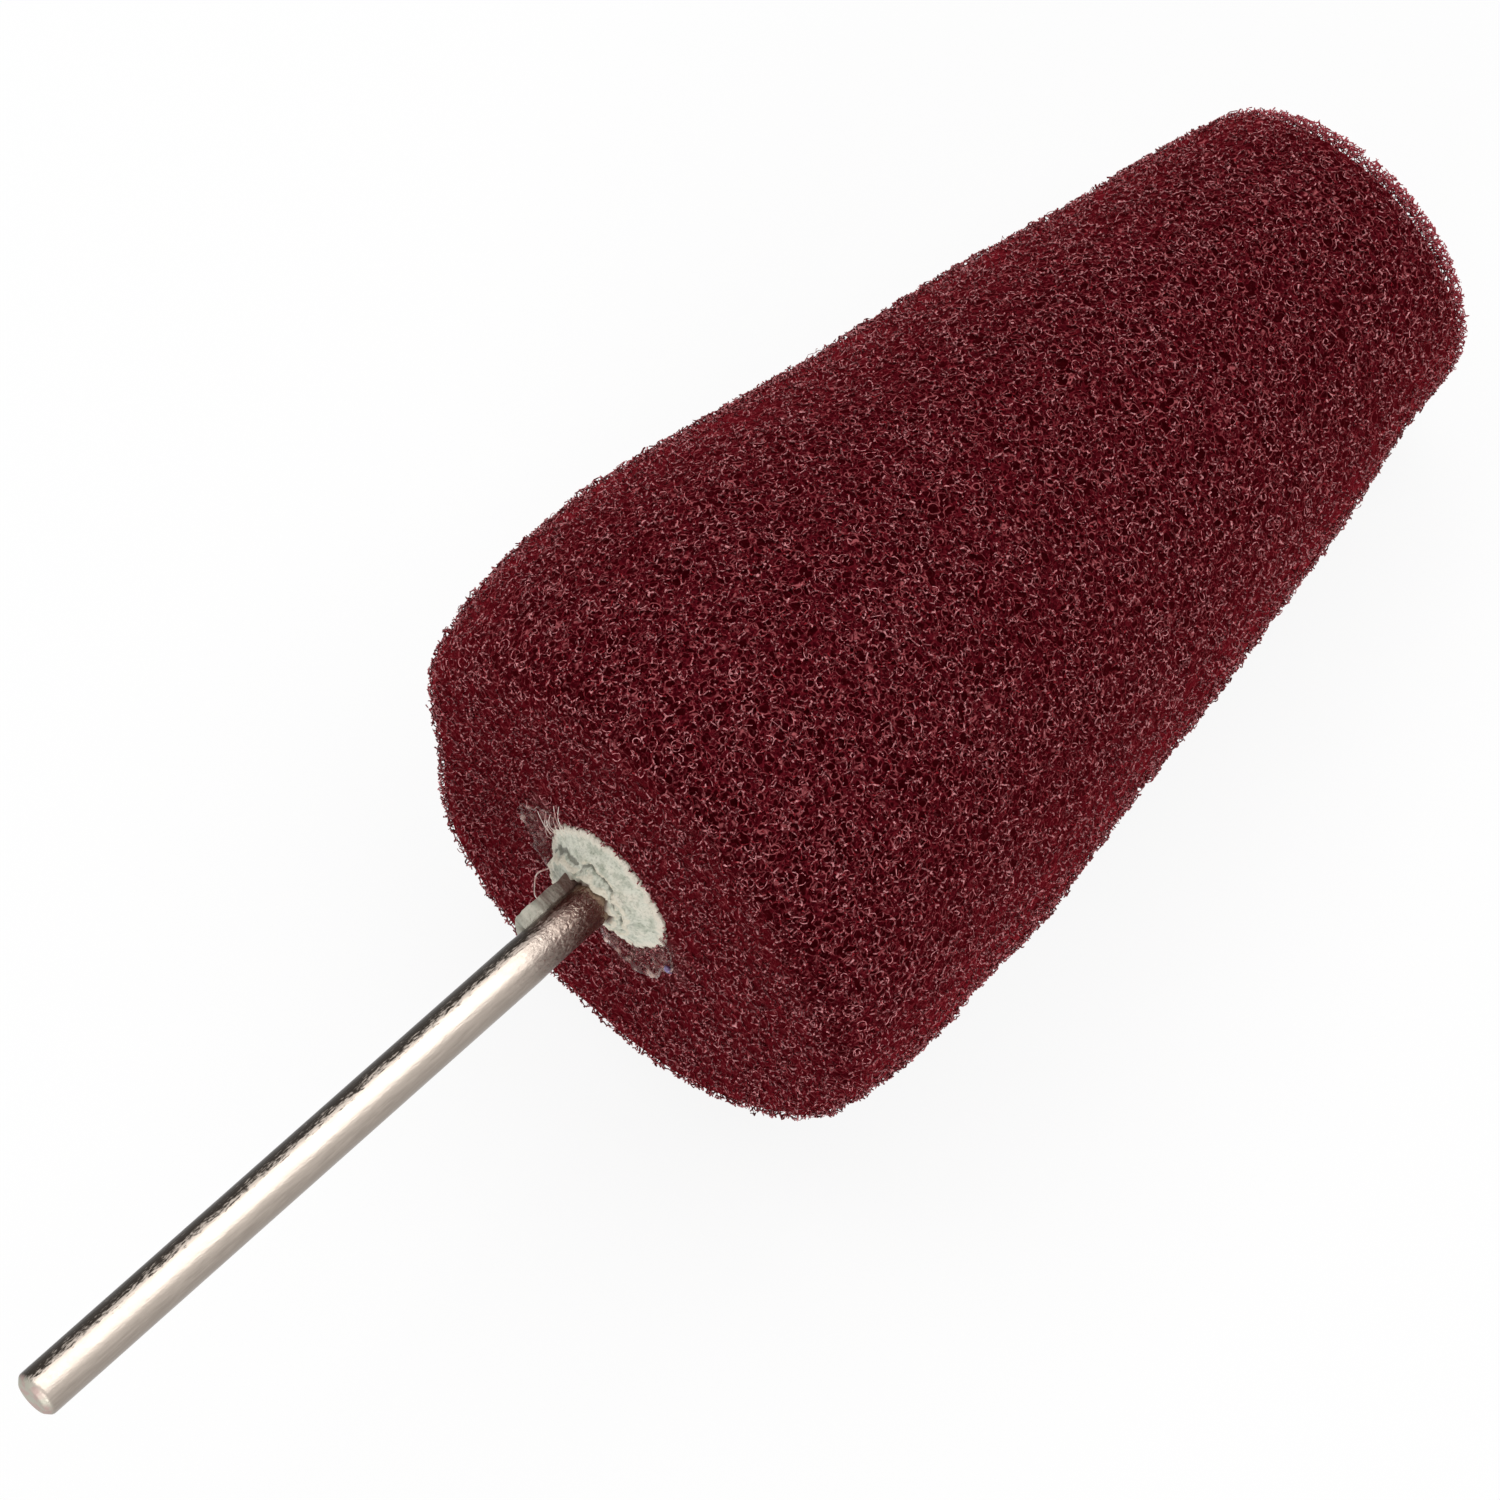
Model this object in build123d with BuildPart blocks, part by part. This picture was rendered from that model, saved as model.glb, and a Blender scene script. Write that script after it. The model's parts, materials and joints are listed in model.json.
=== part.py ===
from build123d import *
import os
from math import asin, cos, degrees, radians, sin, tan

# A foam polishing cone on a steel shank, lying on its flank. Millimetres and degrees.

# Shank: a ground grip that a chuck holds, a relieved root at the hub, and an anchor hidden in the cone
grip_diameter = 6.0
grip_length = 81.0
grip_chamfer = 0.8
root_relief = 0.16
anchor_length = 90.0
anchor_chamfer = 0.6

# Two flats on the anchor key it into the hub
key_flat_depth = 0.6
key_flat_length = 18.0

# Hub: resin poured round the shank. Its face is a low dome that starts level with the cone's base
hub_diameter = 19.0
hub_depth = 28.0
dome_height = 1.6

# The resin climbs the root as a collar that narrows to a thin lip
collar_radius = 4.3
collar_height = 2.7
collar_lip = 0.5

# A piece of the sleeve that the resin was poured into is left along one side of the root
sleeve_length = 11.3
sleeve_wall = 1.95
sleeve_sweep = 80.0
sleeve_bearing = 206.0
sleeve_corner_radius = 0.4

# Clear length of root between the sleeve and the ground grip
grip_clearance = 1.0

# Glue squeezed out round one half of the hub, a low bead on the base
bead_width = 4.6
bead_height = 0.7
bead_bearing = 190.0
bead_sweep = 180.0

# Cone: flat base, rounded corner, flared skirt with a short straight, broad shoulder, straight flank, rounded tip
cone_length = 137.0
shoulder_station = 21.5
shoulder_vertex_radius = 40.5
skirt_angle = 10.8
flank_angle = 9.2
base_corner_radius = 5.0
skirt_straight = 1.882
tip_corner_radius = 5.0

# The flank flattens a little where it lies, most at the tip
flat_spot_depth = 0.8

grip_radius = grip_diameter / 2
root_radius = grip_radius - root_relief
root_length = sleeve_length + grip_clearance
free_end = -(root_length + grip_length)
hub_radius = hub_diameter / 2

# Corners of the cone's half outline before rounding, given as radii
base_radius = shoulder_vertex_radius - shoulder_station * tan(radians(skirt_angle))
tip_radius = shoulder_vertex_radius - (cone_length - shoulder_station) * tan(radians(flank_angle))
tip_flat_radius = tip_radius - tip_corner_radius * tan(radians((90 - flank_angle) / 2))

# The shoulder's arc starts where the short straight of the skirt ends, and ends where the straight flank starts
skirt_length = shoulder_station / cos(radians(skirt_angle))
base_corner_run = base_corner_radius * tan(radians((90 - skirt_angle) / 2))
shoulder_run = skirt_length - base_corner_run - skirt_straight
shoulder_radius = shoulder_run / tan(radians((skirt_angle + flank_angle) / 2))
flank_station = shoulder_station + shoulder_run * cos(radians(flank_angle))
flank_radius = shoulder_vertex_radius - shoulder_run * sin(radians(flank_angle))

# The cone lies on its flank: the flat starts at the shoulder and cuts deepest at the tip
flank_length = (cone_length - flank_station) / cos(radians(flank_angle))
dip = radians(flank_angle) + asin(flat_spot_depth / flank_length)
axis_height = flank_radius * cos(dip) + flank_station * sin(dip)
end_reach = -free_end * cos(dip) + (grip_radius - grip_chamfer) * sin(dip)
tip_reach = (cone_length - tip_corner_radius) * cos(dip) + tip_flat_radius * sin(dip) + tip_corner_radius
hub_centre = Vector((end_reach - tip_reach) / 2, 0, axis_height)
towards_tip = Vector(cos(dip), 0, -sin(dip))
turning_axis = Axis(hub_centre, towards_tip)

# Half outlines are drawn with X along the axis from the base towards the tip, and Y outwards
outline = Plane(origin=hub_centre, x_dir=towards_tip, z_dir=(0, -1, 0))

# Sections across the shank are drawn as seen from its free end, with Y upwards; bearings turn from X towards Y
across = Plane(origin=hub_centre, x_dir=(0, -1, 0), z_dir=-towards_tip)

# The half outline's plane turned to the bearing where the glue bead starts
bead_normal = Vector(0, -1, 0).rotate(turning_axis, 90 - bead_bearing)
bead_outline = Plane(origin=hub_centre, x_dir=towards_tip, z_dir=bead_normal)

# Shank: one turned rod, with two opposite flats milled where the hub holds it
with BuildPart() as shank:
    with BuildSketch(outline):
        with BuildLine():
            Polyline(
                (free_end, 0),
                (free_end, grip_radius - grip_chamfer),
                (free_end + grip_chamfer, grip_radius),
                (-root_length, grip_radius),
                (-root_length + root_relief, root_radius),
                (anchor_length - anchor_chamfer, root_radius),
                (anchor_length, root_radius - anchor_chamfer),
                (anchor_length, 0),
                close=True,
            )
        make_face()
    revolve(axis=turning_axis)
    with BuildSketch(across.offset(-hub_depth / 2)):
        with Locations((0, root_radius), (0, -root_radius)):
            Rectangle(grip_diameter, 2 * key_flat_depth)
    extrude(amount=key_flat_length / 2, both=True, mode=Mode.SUBTRACT)

# Hub: a domed plug with its collar, and the sleeve; the resin fills the shank's flats
with BuildPart() as hub:
    with BuildSketch(outline):
        with BuildLine():
            Polyline(
                (-collar_height, 0),
                (-collar_height, root_radius + collar_lip),
                (-dome_height, collar_radius),
                (0, hub_radius),
                (hub_depth, hub_radius),
                (hub_depth, 0),
                close=True,
            )
        make_face()
    revolve(axis=turning_axis)
    with BuildSketch(across):
        with BuildLine():
            sleeve_start = sleeve_bearing - sleeve_sweep / 2
            inner = CenterArc((0, 0), root_radius, sleeve_start, sleeve_sweep)
            outer = CenterArc((0, 0), root_radius + sleeve_wall, sleeve_start, sleeve_sweep)
            Line(inner @ 0, outer @ 0)
            Line(inner @ 1, outer @ 1)
        make_face()
        fillet(vertices().sort_by_distance((0, 0))[-2:], sleeve_corner_radius)
    extrude(amount=sleeve_length)
    add(shank.part, mode=Mode.SUBTRACT)

# Glue bead: highest against the hub's rim, it thins out over the base
with BuildPart() as glue_bead:
    with BuildSketch(bead_outline):
        with BuildLine():
            Polyline(
                (0, hub_radius),
                (-bead_height, hub_radius),
                (0, hub_radius + bead_width),
                close=True,
            )
        make_face()
    revolve(axis=turning_axis, revolution_arc=bead_sweep)

# Foam cone: one rounded outline, with the hub and the anchor seated in it and the underside flattened
with BuildPart() as foam_cone:
    with BuildSketch(outline):
        with BuildLine():
            half_outline = FilletPolyline(
                (0, 0),
                (0, base_radius),
                (shoulder_station, shoulder_vertex_radius),
                (cone_length, tip_radius),
                (cone_length, 0),
                radius=[base_corner_radius, shoulder_radius, tip_corner_radius],
            )
            Line(half_outline @ 1, half_outline @ 0)
        make_face()
    revolve(axis=turning_axis)
    split(bisect_by=Plane.XY, keep=Keep.TOP)
    add(hub.part, mode=Mode.SUBTRACT)
    add(shank.part, mode=Mode.SUBTRACT)

os.makedirs("parts", exist_ok=True)

shank.part.label = "shank"
export_step(shank.part, "parts/shank.step")

hub.part.label = "hub"
export_step(hub.part, "parts/hub.step")

glue_bead.part.label = "glue_bead"
export_step(glue_bead.part, "parts/glue_bead.step")

foam_cone.part.label = "foam_cone"
export_step(foam_cone.part, "parts/foam_cone.step")

print(f"overall {end_reach + tip_reach:.1f} mm, axis dips {degrees(dip):.2f} degrees")
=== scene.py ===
import itertools
import json
import math

import bpy
import numpy as np
from mathutils import Matrix, Vector


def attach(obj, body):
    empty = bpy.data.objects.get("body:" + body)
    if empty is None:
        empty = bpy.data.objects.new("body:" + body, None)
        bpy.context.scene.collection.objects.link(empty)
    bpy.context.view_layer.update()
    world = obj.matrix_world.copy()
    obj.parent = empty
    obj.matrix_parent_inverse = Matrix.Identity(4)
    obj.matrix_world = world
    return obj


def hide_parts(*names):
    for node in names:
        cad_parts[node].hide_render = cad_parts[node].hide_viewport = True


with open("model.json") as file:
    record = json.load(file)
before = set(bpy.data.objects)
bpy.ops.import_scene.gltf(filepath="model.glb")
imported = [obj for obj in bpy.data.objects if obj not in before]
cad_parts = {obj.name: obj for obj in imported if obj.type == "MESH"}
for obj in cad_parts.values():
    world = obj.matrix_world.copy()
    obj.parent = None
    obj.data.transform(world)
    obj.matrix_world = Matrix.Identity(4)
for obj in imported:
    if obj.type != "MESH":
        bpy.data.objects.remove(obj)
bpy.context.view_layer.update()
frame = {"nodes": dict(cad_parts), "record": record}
nodes = frame["nodes"]
mm = 0.001

# The tool's own axes, from the record's grip: along it, sideways (bearing 0) and upwards (bearing 90)
tool = {
    "rootLength": 12.3,  # mm from the cone's base to the ground grip
}
grip = next(m for m in frame["record"]["mounts"] if m["name"] == "shank_grip")
gripLength, gripRadius = grip["dims"]["length_mm"], grip["dims"]["r_mm"]
backwards = Vector(grip["axis"]).normalized()
along = -backwards
hubCentre = Vector(grip["pos_m"]) + along * (gripLength + tool["rootLength"]) * mm
sideways = Vector((0, -1, 0))
upwards = backwards.cross(sideways)
toWorld = np.array([along, sideways, upwards])
baseCentre = np.array(hubCentre) / mm


def fromCone(points):  # mm along the axis, sideways and upwards -> mm in the row frame
    return points @ toWorld + baseCentre


def toCone(points):
    return (points - baseCentre) @ toWorld.T


def cadPoints(name):  # a CAD node's points in the cone's frame
    mesh = nodes[name].data
    co = np.zeros(len(mesh.vertices) * 3)
    mesh.vertices.foreach_get("co", co)
    return toCone(co.reshape(-1, 3) / mm)


# Node trees: sockets that do arithmetic, and one method for every other node


class Socket:
    def __init__(self, tree, output):
        self.tree = tree
        self.output = output

    def maths(self, operation, *others):
        values = {i: other for i, other in enumerate((self, *others))}
        return self.tree.add("ShaderNodeMath", {"operation": operation}, values)

    def __add__(self, other):
        return self.maths("ADD", other)

    def __sub__(self, other):
        return self.maths("SUBTRACT", other)

    def __mul__(self, other):
        return self.maths("MULTIPLY", other)

    def __truediv__(self, other):
        return self.maths("DIVIDE", other)

    def reflected(self, operation, other):
        return self.tree.add("ShaderNodeMath", {"operation": operation}, {0: other, 1: self})

    def __rsub__(self, other):
        return self.reflected("SUBTRACT", other)

    def __rtruediv__(self, other):
        return self.reflected("DIVIDE", other)

    __radd__ = __add__
    __rmul__ = __mul__

    def between(self, low, high):  # 0 below low, 1 above high, smooth in between
        values = {"Value": self, "From Min": low, "From Max": high}
        return self.tree.add("ShaderNodeMapRange", {"interpolation_type": "SMOOTHSTEP"}, values)


class Tree:
    def __init__(self, tree):
        self.tree = tree

    def add(self, kind, settings=None, inputs=None, output=0):
        node = self.tree.nodes.new(kind)
        for name, value in (settings or {}).items():
            setattr(node, name, value)
        for name, value in (inputs or {}).items():
            if isinstance(value, Socket):
                self.tree.links.new(value.output, node.inputs[name])
            else:
                node.inputs[name].default_value = value
        return Socket(self, node.outputs[output]) if len(node.outputs) else node

    def vectorMaths(self, operation, inputs, output=0):
        return self.add("ShaderNodeVectorMath", {"operation": operation}, inputs, output)

    def objectPlace(self):
        return self.add("ShaderNodeTexCoord", output="Object")

    def across(self, place, way):  # a place's component along a direction, in m
        return self.vectorMaths("DOT_PRODUCT", {0: place, 1: tuple(way)}, "Value")

    def toolPlace(self, place, stretch):  # in the tool's frame, with patterns stretched along its axis
        parts = {
            "X": self.across(place, along) / stretch,
            "Y": self.across(place, sideways),
            "Z": self.across(place, upwards),
        }
        return self.add("ShaderNodeCombineXYZ", {}, parts)

    def noise(self, place, scale, detail=2.0, roughness=0.5, output="Fac"):  # scale in waves to a metre
        values = {"Vector": place, "Scale": scale, "Detail": detail, "Roughness": roughness}
        return self.add("ShaderNodeTexNoise", {}, values, output)

    def mixColour(self, factor, first, second):
        return self.add("ShaderNodeMix", {"data_type": "RGBA"}, {0: factor, 6: first, 7: second}, 2)

    def attribute(self, name):
        return self.add("ShaderNodeAttribute", {"attribute_name": name}, {}, "Fac")

    def bump(self, height, strength, distance):  # distance in m
        return self.add("ShaderNodeBump", {}, {"Strength": strength, "Distance": distance, "Height": height})


def newMaterial(name):
    material = bpy.data.materials.new(name)
    material.use_nodes = True
    material.node_tree.nodes.clear()
    return material, Tree(material.node_tree)


def finishMaterial(tree, values):
    shader = tree.add("ShaderNodeBsdfPrincipled", {}, values)
    tree.add("ShaderNodeOutputMaterial", {}, {"Surface": shader})


def colour(red, green, blue):  # 0 to 255 as on a screen -> linear, with alpha
    levels = [c / 255 for c in (red, green, blue)]
    return (*[c / 12.92 if c <= 0.04045 else ((c + 0.055) / 1.055) ** 2.4 for c in levels], 1.0)


# Meshes


def newObject(name, data):
    made = bpy.data.objects.new(name, data)
    bpy.context.scene.collection.objects.link(made)
    return made


def meshObject(name, points, faces, material, rides=True):  # points in mm, faces as arrays of corners
    mesh = bpy.data.meshes.new(name)
    sizes = np.concatenate([np.full(len(f), f.shape[1]) for f in faces if len(f)])
    corners = np.concatenate([f.ravel() for f in faces if len(f)])
    starts = np.concatenate([[0], np.cumsum(sizes)[:-1]])
    mesh.vertices.add(len(points))
    mesh.vertices.foreach_set("co", (np.asarray(points) * mm).astype(np.float32).ravel())
    mesh.loops.add(len(corners))
    mesh.loops.foreach_set("vertex_index", corners.astype(np.int32))
    mesh.polygons.add(len(sizes))
    mesh.polygons.foreach_set("loop_start", starts.astype(np.int32))
    mesh.update(calc_edges=True)
    mesh.shade_smooth()
    mesh.materials.append(material)
    piece = newObject(name, mesh)
    if rides:
        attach(piece, "root")
    print(name, int((sizes - 2).sum()), "triangles")
    return piece


def setAttribute(piece, name, values):
    attribute = piece.data.attributes.new(name, "FLOAT", "POINT")
    attribute.data.foreach_set("value", np.asarray(values, np.float32))


def polar(radius, bearing):  # bearing in radians
    return radius * np.cos(bearing), radius * np.sin(bearing)


def turns(around):  # even steps round a circle, in radians
    return np.arange(around) * 2 * math.pi / around


def turnedRings(line, around):  # a ring of points round the axis for each (mm along it, radius) of a line
    x, y = polar(line[:, 1:], turns(around))
    return np.column_stack([np.repeat(line[:, 0], around), x.ravel(), y.ravel()])


def ringQuads(rings, around, joined=False):  # between rings of points, joined ties the last to the first
    ring, step = np.meshgrid(np.arange(rings if joined else rings - 1), np.arange(around), indexing="ij")
    ring, step = ring.ravel(), step.ravel()
    after, other = (step + 1) % around, (ring + 1) % rings
    corners = (ring * around + step, other * around + step, other * around + after, ring * around + after)
    return np.column_stack(corners)


def endDiscs(rings, around):  # the faces that close the first and the last ring
    return np.vstack([np.arange(around)[::-1], np.arange(around) + (rings - 1) * around])


def endFans(rings, around):  # the same as triangles, to two poles that come after the rings
    step = np.arange(around)
    after = (step + 1) % around
    last = (rings - 1) * around
    first = np.column_stack([np.full(around, rings * around), step, after])
    second = np.column_stack([np.full(around, rings * around + 1), last + after, last + step])
    return np.vstack([first, second])


def outward(points, faces):  # the faces of a closed shell, turned so that they point outwards
    volume = 0.0
    for corners in faces:
        a = points[corners[:, 0]]
        for i in range(1, corners.shape[1] - 1):
            volume += (a * np.cross(points[corners[:, i]], points[corners[:, i + 1]])).sum()
    return faces if volume > 0 else [corners[:, ::-1] for corners in faces]


def ripple(points, length, seed):  # a smooth random field from about -1 to 1, length mm from crest to crest
    waves = 16
    rng = np.random.default_rng(seed)
    ways = rng.normal(size=(waves, points.shape[1]))
    ways /= np.linalg.norm(ways, axis=1, keepdims=True)
    perMm = 2 * math.pi * rng.uniform(0.7, 1.4, waves) / length
    phase = rng.random(waves) * 2 * math.pi
    return np.sin(points @ (ways * perMm[:, None]).T + phase).sum(axis=1) / math.sqrt(waves)


def smooth(x):  # 0 to 1, with soft ends
    x = np.clip(x, 0, 1)
    return x * x * (3 - 2 * x)


def hump(x, middle, half):  # 1 at the middle, 0 at half a width from it and beyond
    return smooth(1 - np.abs(x - middle) / half)


def within(bearing, low, high, soft):  # 1 between two bearings in degrees, soft at both ends
    past = (bearing - low) % 360
    return smooth(past / soft) * smooth((high - low - past) / soft)


# The cone's half outline, read from the CAD body: (mm along the axis, radius), from base centre to tip centre

outlineMiddle = 60.0  # mm along the axis, a place that sees the whole outline


def readOutline():
    s, x, y = cadPoints("foam_cone").T
    radius = np.hypot(x, y)
    edge = (y > 0.5 * radius) & (radius > 10)  # its upper side, without the hub's pocket
    points = np.unique(np.round(np.column_stack([s, radius])[edge], 2), axis=0)
    order = np.argsort(-np.arctan2(points[:, 1], points[:, 0] - outlineMiddle))
    points = points[order]
    return np.vstack([[0, 0], points, [points[-1, 0], 0]])


outline = readOutline()
coneLength = outline[-1, 0]


def outlineDistance(s, radius):  # mm from the outline, negative inside
    best = np.full(s.shape, 1e9)
    for (s0, r0), (s1, r1) in zip(outline[:-1], outline[1:]):
        ds, dr = s1 - s0, r1 - r0
        share = np.clip(((s - s0) * ds + (radius - r0) * dr) / (ds * ds + dr * dr), 0, 1)
        best = np.minimum(best, (s - s0 - share * ds) ** 2 + (radius - r0 - share * dr) ** 2)
    wall = outline[1:-1]
    inside = (s > 0) & (s < coneLength) & (radius < np.interp(s, wall[:, 0], wall[:, 1]))
    return np.where(inside, -1, 1) * np.sqrt(best)


# How the trimmed foam departs from the turned outline, and how it settles on what it lies on

shape = {
    "settle": 0.8,  # mm over which the underside is squeezed
    "squeeze": 2.2,  # how hard, as a power of e
    "lowest": 0.06,  # mm, the underside's height above the floor
    "leanStations": (0, 10, 21, 110, 137),  # mm along the axis
    "lean": (2.0, 1.1, 0.5, 0.5, -0.24),  # mm that the trimmed foam lies beside the tool's axis there
    "leanWay": (0, 0.965, -0.26),  # along, sideways, upwards
    "leanFrom": 12.0,  # mm from the axis, where the hub still holds the foam
    "leanFull": 30.0,
    "wobble": 0.22,  # mm, the unevenness of foam cut by hand
    "waves": (9.1, 5.3, 17),  # mm along the axis to a radian of each of its three waves
    "nap": 0.13,  # mm, the finer unevenness
    "napLength": 4.0,
}

# Where the trimmed foam stands in or out: place and reach along the axis, bearing and reach round it, mm out
trims = [
    (4, 17, 192, 32, -3.9),
    (4, 14, 240, 34, 1.3),
    (2, 12, 318, 40, -1.2),
    (6, 12, 262, 34, 1.0),
    (22, 14, 162, 30, -0.6),
    (29, 12, 352, 40, -1.0),
    (122, 16, 354, 40, -0.7),
    (92, 34, 0, 400, 0.45),
    (137, 13, 108, 95, -2.7),
]

# The tip's face is cut askew
tipCut = {
    "from": 126.0,  # mm along the axis
    "full": 137.0,
    "bearing": 78.0,  # degrees, the side that is cut most
    "amount": 0.7,  # mm
    "radius": 20,  # mm, the face's own
}


def settle(points):  # mm in the row frame
    soft = shape["settle"]
    z = points[:, 2]
    squeezed = soft * np.exp((np.minimum(z, soft) - soft) / soft)
    lowest = soft * math.exp(-shape["squeeze"])
    z = np.where(z < soft, squeezed - lowest * (1 - squeezed / soft), z)
    points[:, 2] = np.maximum(z, shape["lowest"])
    return points


def place(points):  # the foam's points, from the cone's own frame to the row frame
    s, x, y = points.T
    radius, bearing = np.hypot(x, y), np.arctan2(y, x)
    hold = smooth((radius - shape["leanFrom"]) / (shape["leanFull"] - shape["leanFrom"]))
    lean = np.interp(s, shape["leanStations"], shape["lean"]) * hold
    push = shape["nap"] * ripple(points, shape["napLength"], seed=21)
    for station, reach, way, spread, amount in trims:
        apart = (np.degrees(bearing) - way + 180) % 360 - 180
        push = push + amount * smooth(1 - np.abs(s - station) / reach) * smooth(1 - np.abs(apart) / spread)
    push *= hold
    broad, narrow, slow = shape["waves"]
    wave = np.sin(s / broad + 2.0 * np.sin(2 * bearing)) + np.sin(s / narrow - 3 * bearing)
    wave += np.sin(5 * bearing + s / slow)
    swell = 1 + (shape["wobble"] / 2 * wave * hold + push) / np.maximum(radius, 1)
    tip = smooth((s - tipCut["from"]) / (tipCut["full"] - tipCut["from"]))
    askew = np.cos(bearing - math.radians(tipCut["bearing"])) * radius / tipCut["radius"]
    s = s - tip * tipCut["amount"] / 2 * (1 + askew)
    moved = np.column_stack([s, x * swell, y * swell]) + lean[:, None] * np.array(shape["leanWay"])
    return settle(fromCone(moved))


# A block of foam that repeats: cells, the nodes where four cells meet, and the struts between nodes

block = {
    "side": 13.0,  # mm
    "cellCount": 1200,
    "seed": 7,
    "relaxRounds": 6,
    "crowding": 1.12,  # cells nearer than this to each other, against their mean spacing, move apart
    "relaxShare": 0.25,  # of what they lack, in a round
    "margin": 3.6,  # mm round the block, within which its neighbours' cells count
    "nodeMargin": 2.6,  # mm round it, within which nodes are worked out
    "nearest": 46,  # cells that are looked at round each cell
    "partners": 30,  # of them, those that may share a node with it
    "widest": 1.75,  # mm, the largest gap between cells
    "batch": 160,  # cells worked out at a time
    "evenRounds": 1,  # how often the nodes are drawn towards their neighbours
    "evenShare": 0.45,
    "scatter": 0.06,  # mm by which the nodes then stray
    "turn": (0.42, 0.73, 0.21),  # radians, so that no lattice plane lies along the surface
}


def spreadCells():
    rng = np.random.default_rng(block["seed"])
    side, count = block["side"], block["cellCount"]
    cells = rng.random((count, 3)) * side
    reach = block["crowding"] * side / count ** (1 / 3)
    for _ in range(block["relaxRounds"]):
        gap = cells[:, None] - cells[None]
        gap -= side * np.round(gap / side)
        length = np.linalg.norm(gap, axis=2) + np.eye(count) * side
        push = np.clip(reach - length, 0, None) / length
        cells = (cells + block["relaxShare"] * (gap * push[:, :, None]).sum(axis=1)) % side
    return cells


def meetingPoints(cells):  # the points that are as near to four cells, with those cells, and the cells' cloud
    side, half = block["side"], block["side"] / 2
    steps = np.array(list(itertools.product((-1, 0, 1), repeat=3)))
    cloud = (cells[None] + side * steps[:, None]).reshape(-1, 3)
    cloud = cloud[np.all(np.abs(cloud - half) < half + block["margin"], axis=1)]
    picks = np.array(list(itertools.combinations(range(block["partners"]), 3)))
    found, owners = [], []
    for start in range(0, len(cloud), block["batch"]):
        own = np.arange(start, min(start + block["batch"], len(cloud)))
        reach = ((cloud[own][:, None] - cloud[None]) ** 2).sum(axis=2)
        near = np.argsort(reach, axis=1)[:, 1 : block["nearest"] + 1]
        trio = near[:, picks]
        who, which = np.nonzero((trio > own[:, None, None]).all(axis=2))
        trio = trio[who, which]
        # The centre of the ball through each four cells
        middle = cloud[own[who]]
        a, b, c = (cloud[trio[:, i]] - middle for i in range(3))
        bc, ca, ab = np.cross(b, c), np.cross(c, a), np.cross(a, b)
        volume = (a * bc).sum(axis=1)
        volume[np.abs(volume) < 1e-9] = 1e-9
        squares = [(v * v).sum(axis=1)[:, None] for v in (a, b, c)]
        centre = (squares[0] * bc + squares[1] * ca + squares[2] * ab) / (2 * volume[:, None])
        radius = np.linalg.norm(centre, axis=1)
        spot = centre + middle
        fit = (radius < block["widest"]) & np.all(np.abs(spot - half) < half + block["nodeMargin"], axis=1)
        who, trio, radius, spot = who[fit], trio[fit], radius[fit], spot[fit]
        others = cloud[near[who]] - spot[:, None]
        empty = (np.linalg.norm(others, axis=2) > radius[:, None] - 1e-7).all(axis=1)
        found.append(spot[empty])
        owners.append(np.column_stack([own[who], trio])[empty])
    return np.concatenate(found), np.concatenate(owners), cloud


def foamBlock():
    side = block["side"]
    spots, owners, cloud = meetingPoints(spreadCells())
    # A node's cells in an order that is the same in every copy of the block
    order = np.argsort(cloud[owners][:, :, 0] - spots[:, :1], axis=1)
    owners = np.take_along_axis(owners, order, axis=1)
    # Two nodes that share three cells have a strut between them
    trios = np.stack([np.sort(np.delete(owners, k, axis=1), axis=1) for k in range(4)], axis=1)
    count = len(cloud)
    keys = ((trios[:, :, 0] * count + trios[:, :, 1]) * count + trios[:, :, 2]).ravel()
    order = np.argsort(keys, kind="stable")
    same = keys[order][1:] == keys[order][:-1]
    first, second = order[:-1][same], order[1:][same]
    middle = (spots[first // 4] + spots[second // 4]) / 2
    home = np.all((middle >= 0) & (middle < side), axis=1)
    first, second = first[home], second[home]
    # Copies of a node in neighbouring blocks are one node
    tile = np.floor(spots / side).astype(int)
    inBlock = spots - tile * side
    rounded = np.round(inBlock * 1e4).astype(int)
    _, lead, number = np.unique(rounded, axis=0, return_index=True, return_inverse=True)
    number = number.ravel()
    total = len(lead)
    link = np.full((total, 4), -1)
    step = np.zeros((total, 4, 3), int)
    match = np.zeros((total, 4, 4), int)
    for a, b in ((first, second), (second, first)):
        na, ma, nb, mb = a // 4, a % 4, b // 4, b % 4
        link[number[na], ma] = number[nb]
        step[number[na], ma] = tile[nb] - tile[na]
        match[number[na], ma] = (owners[na][:, :, None] == owners[nb][:, None, :]).argmax(axis=2)
        match[number[na], ma, ma] = mb
    used = (link >= 0).all(axis=1)
    print("foam block:", total, "nodes,", len(first), "struts,", int((~used).sum()), "incomplete")
    nodesAt = inBlock[lead]
    for _ in range(block["evenRounds"]):
        around = nodesAt[link] + step * side
        nodesAt = nodesAt + block["evenShare"] * (around.mean(axis=1) - nodesAt) * used[:, None]
    nodesAt = nodesAt + np.random.default_rng(block["seed"]).normal(0, block["scatter"], nodesAt.shape)
    way = nodesAt[link] + step * side - nodesAt[:, None]
    spokes = -way / np.maximum(np.linalg.norm(way, axis=2, keepdims=True), 1e-6)
    return nodesAt, link, step, match, spokes, used


def turned():  # the block's frame against the cone's
    a, b, c = block["turn"]
    return np.array(Matrix.Rotation(a, 3, "X") @ Matrix.Rotation(b, 3, "Y") @ Matrix.Rotation(c, 3, "Z"))


# The foam: the blocks that the turned outline cuts, kept as a band of struts under its surface

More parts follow.
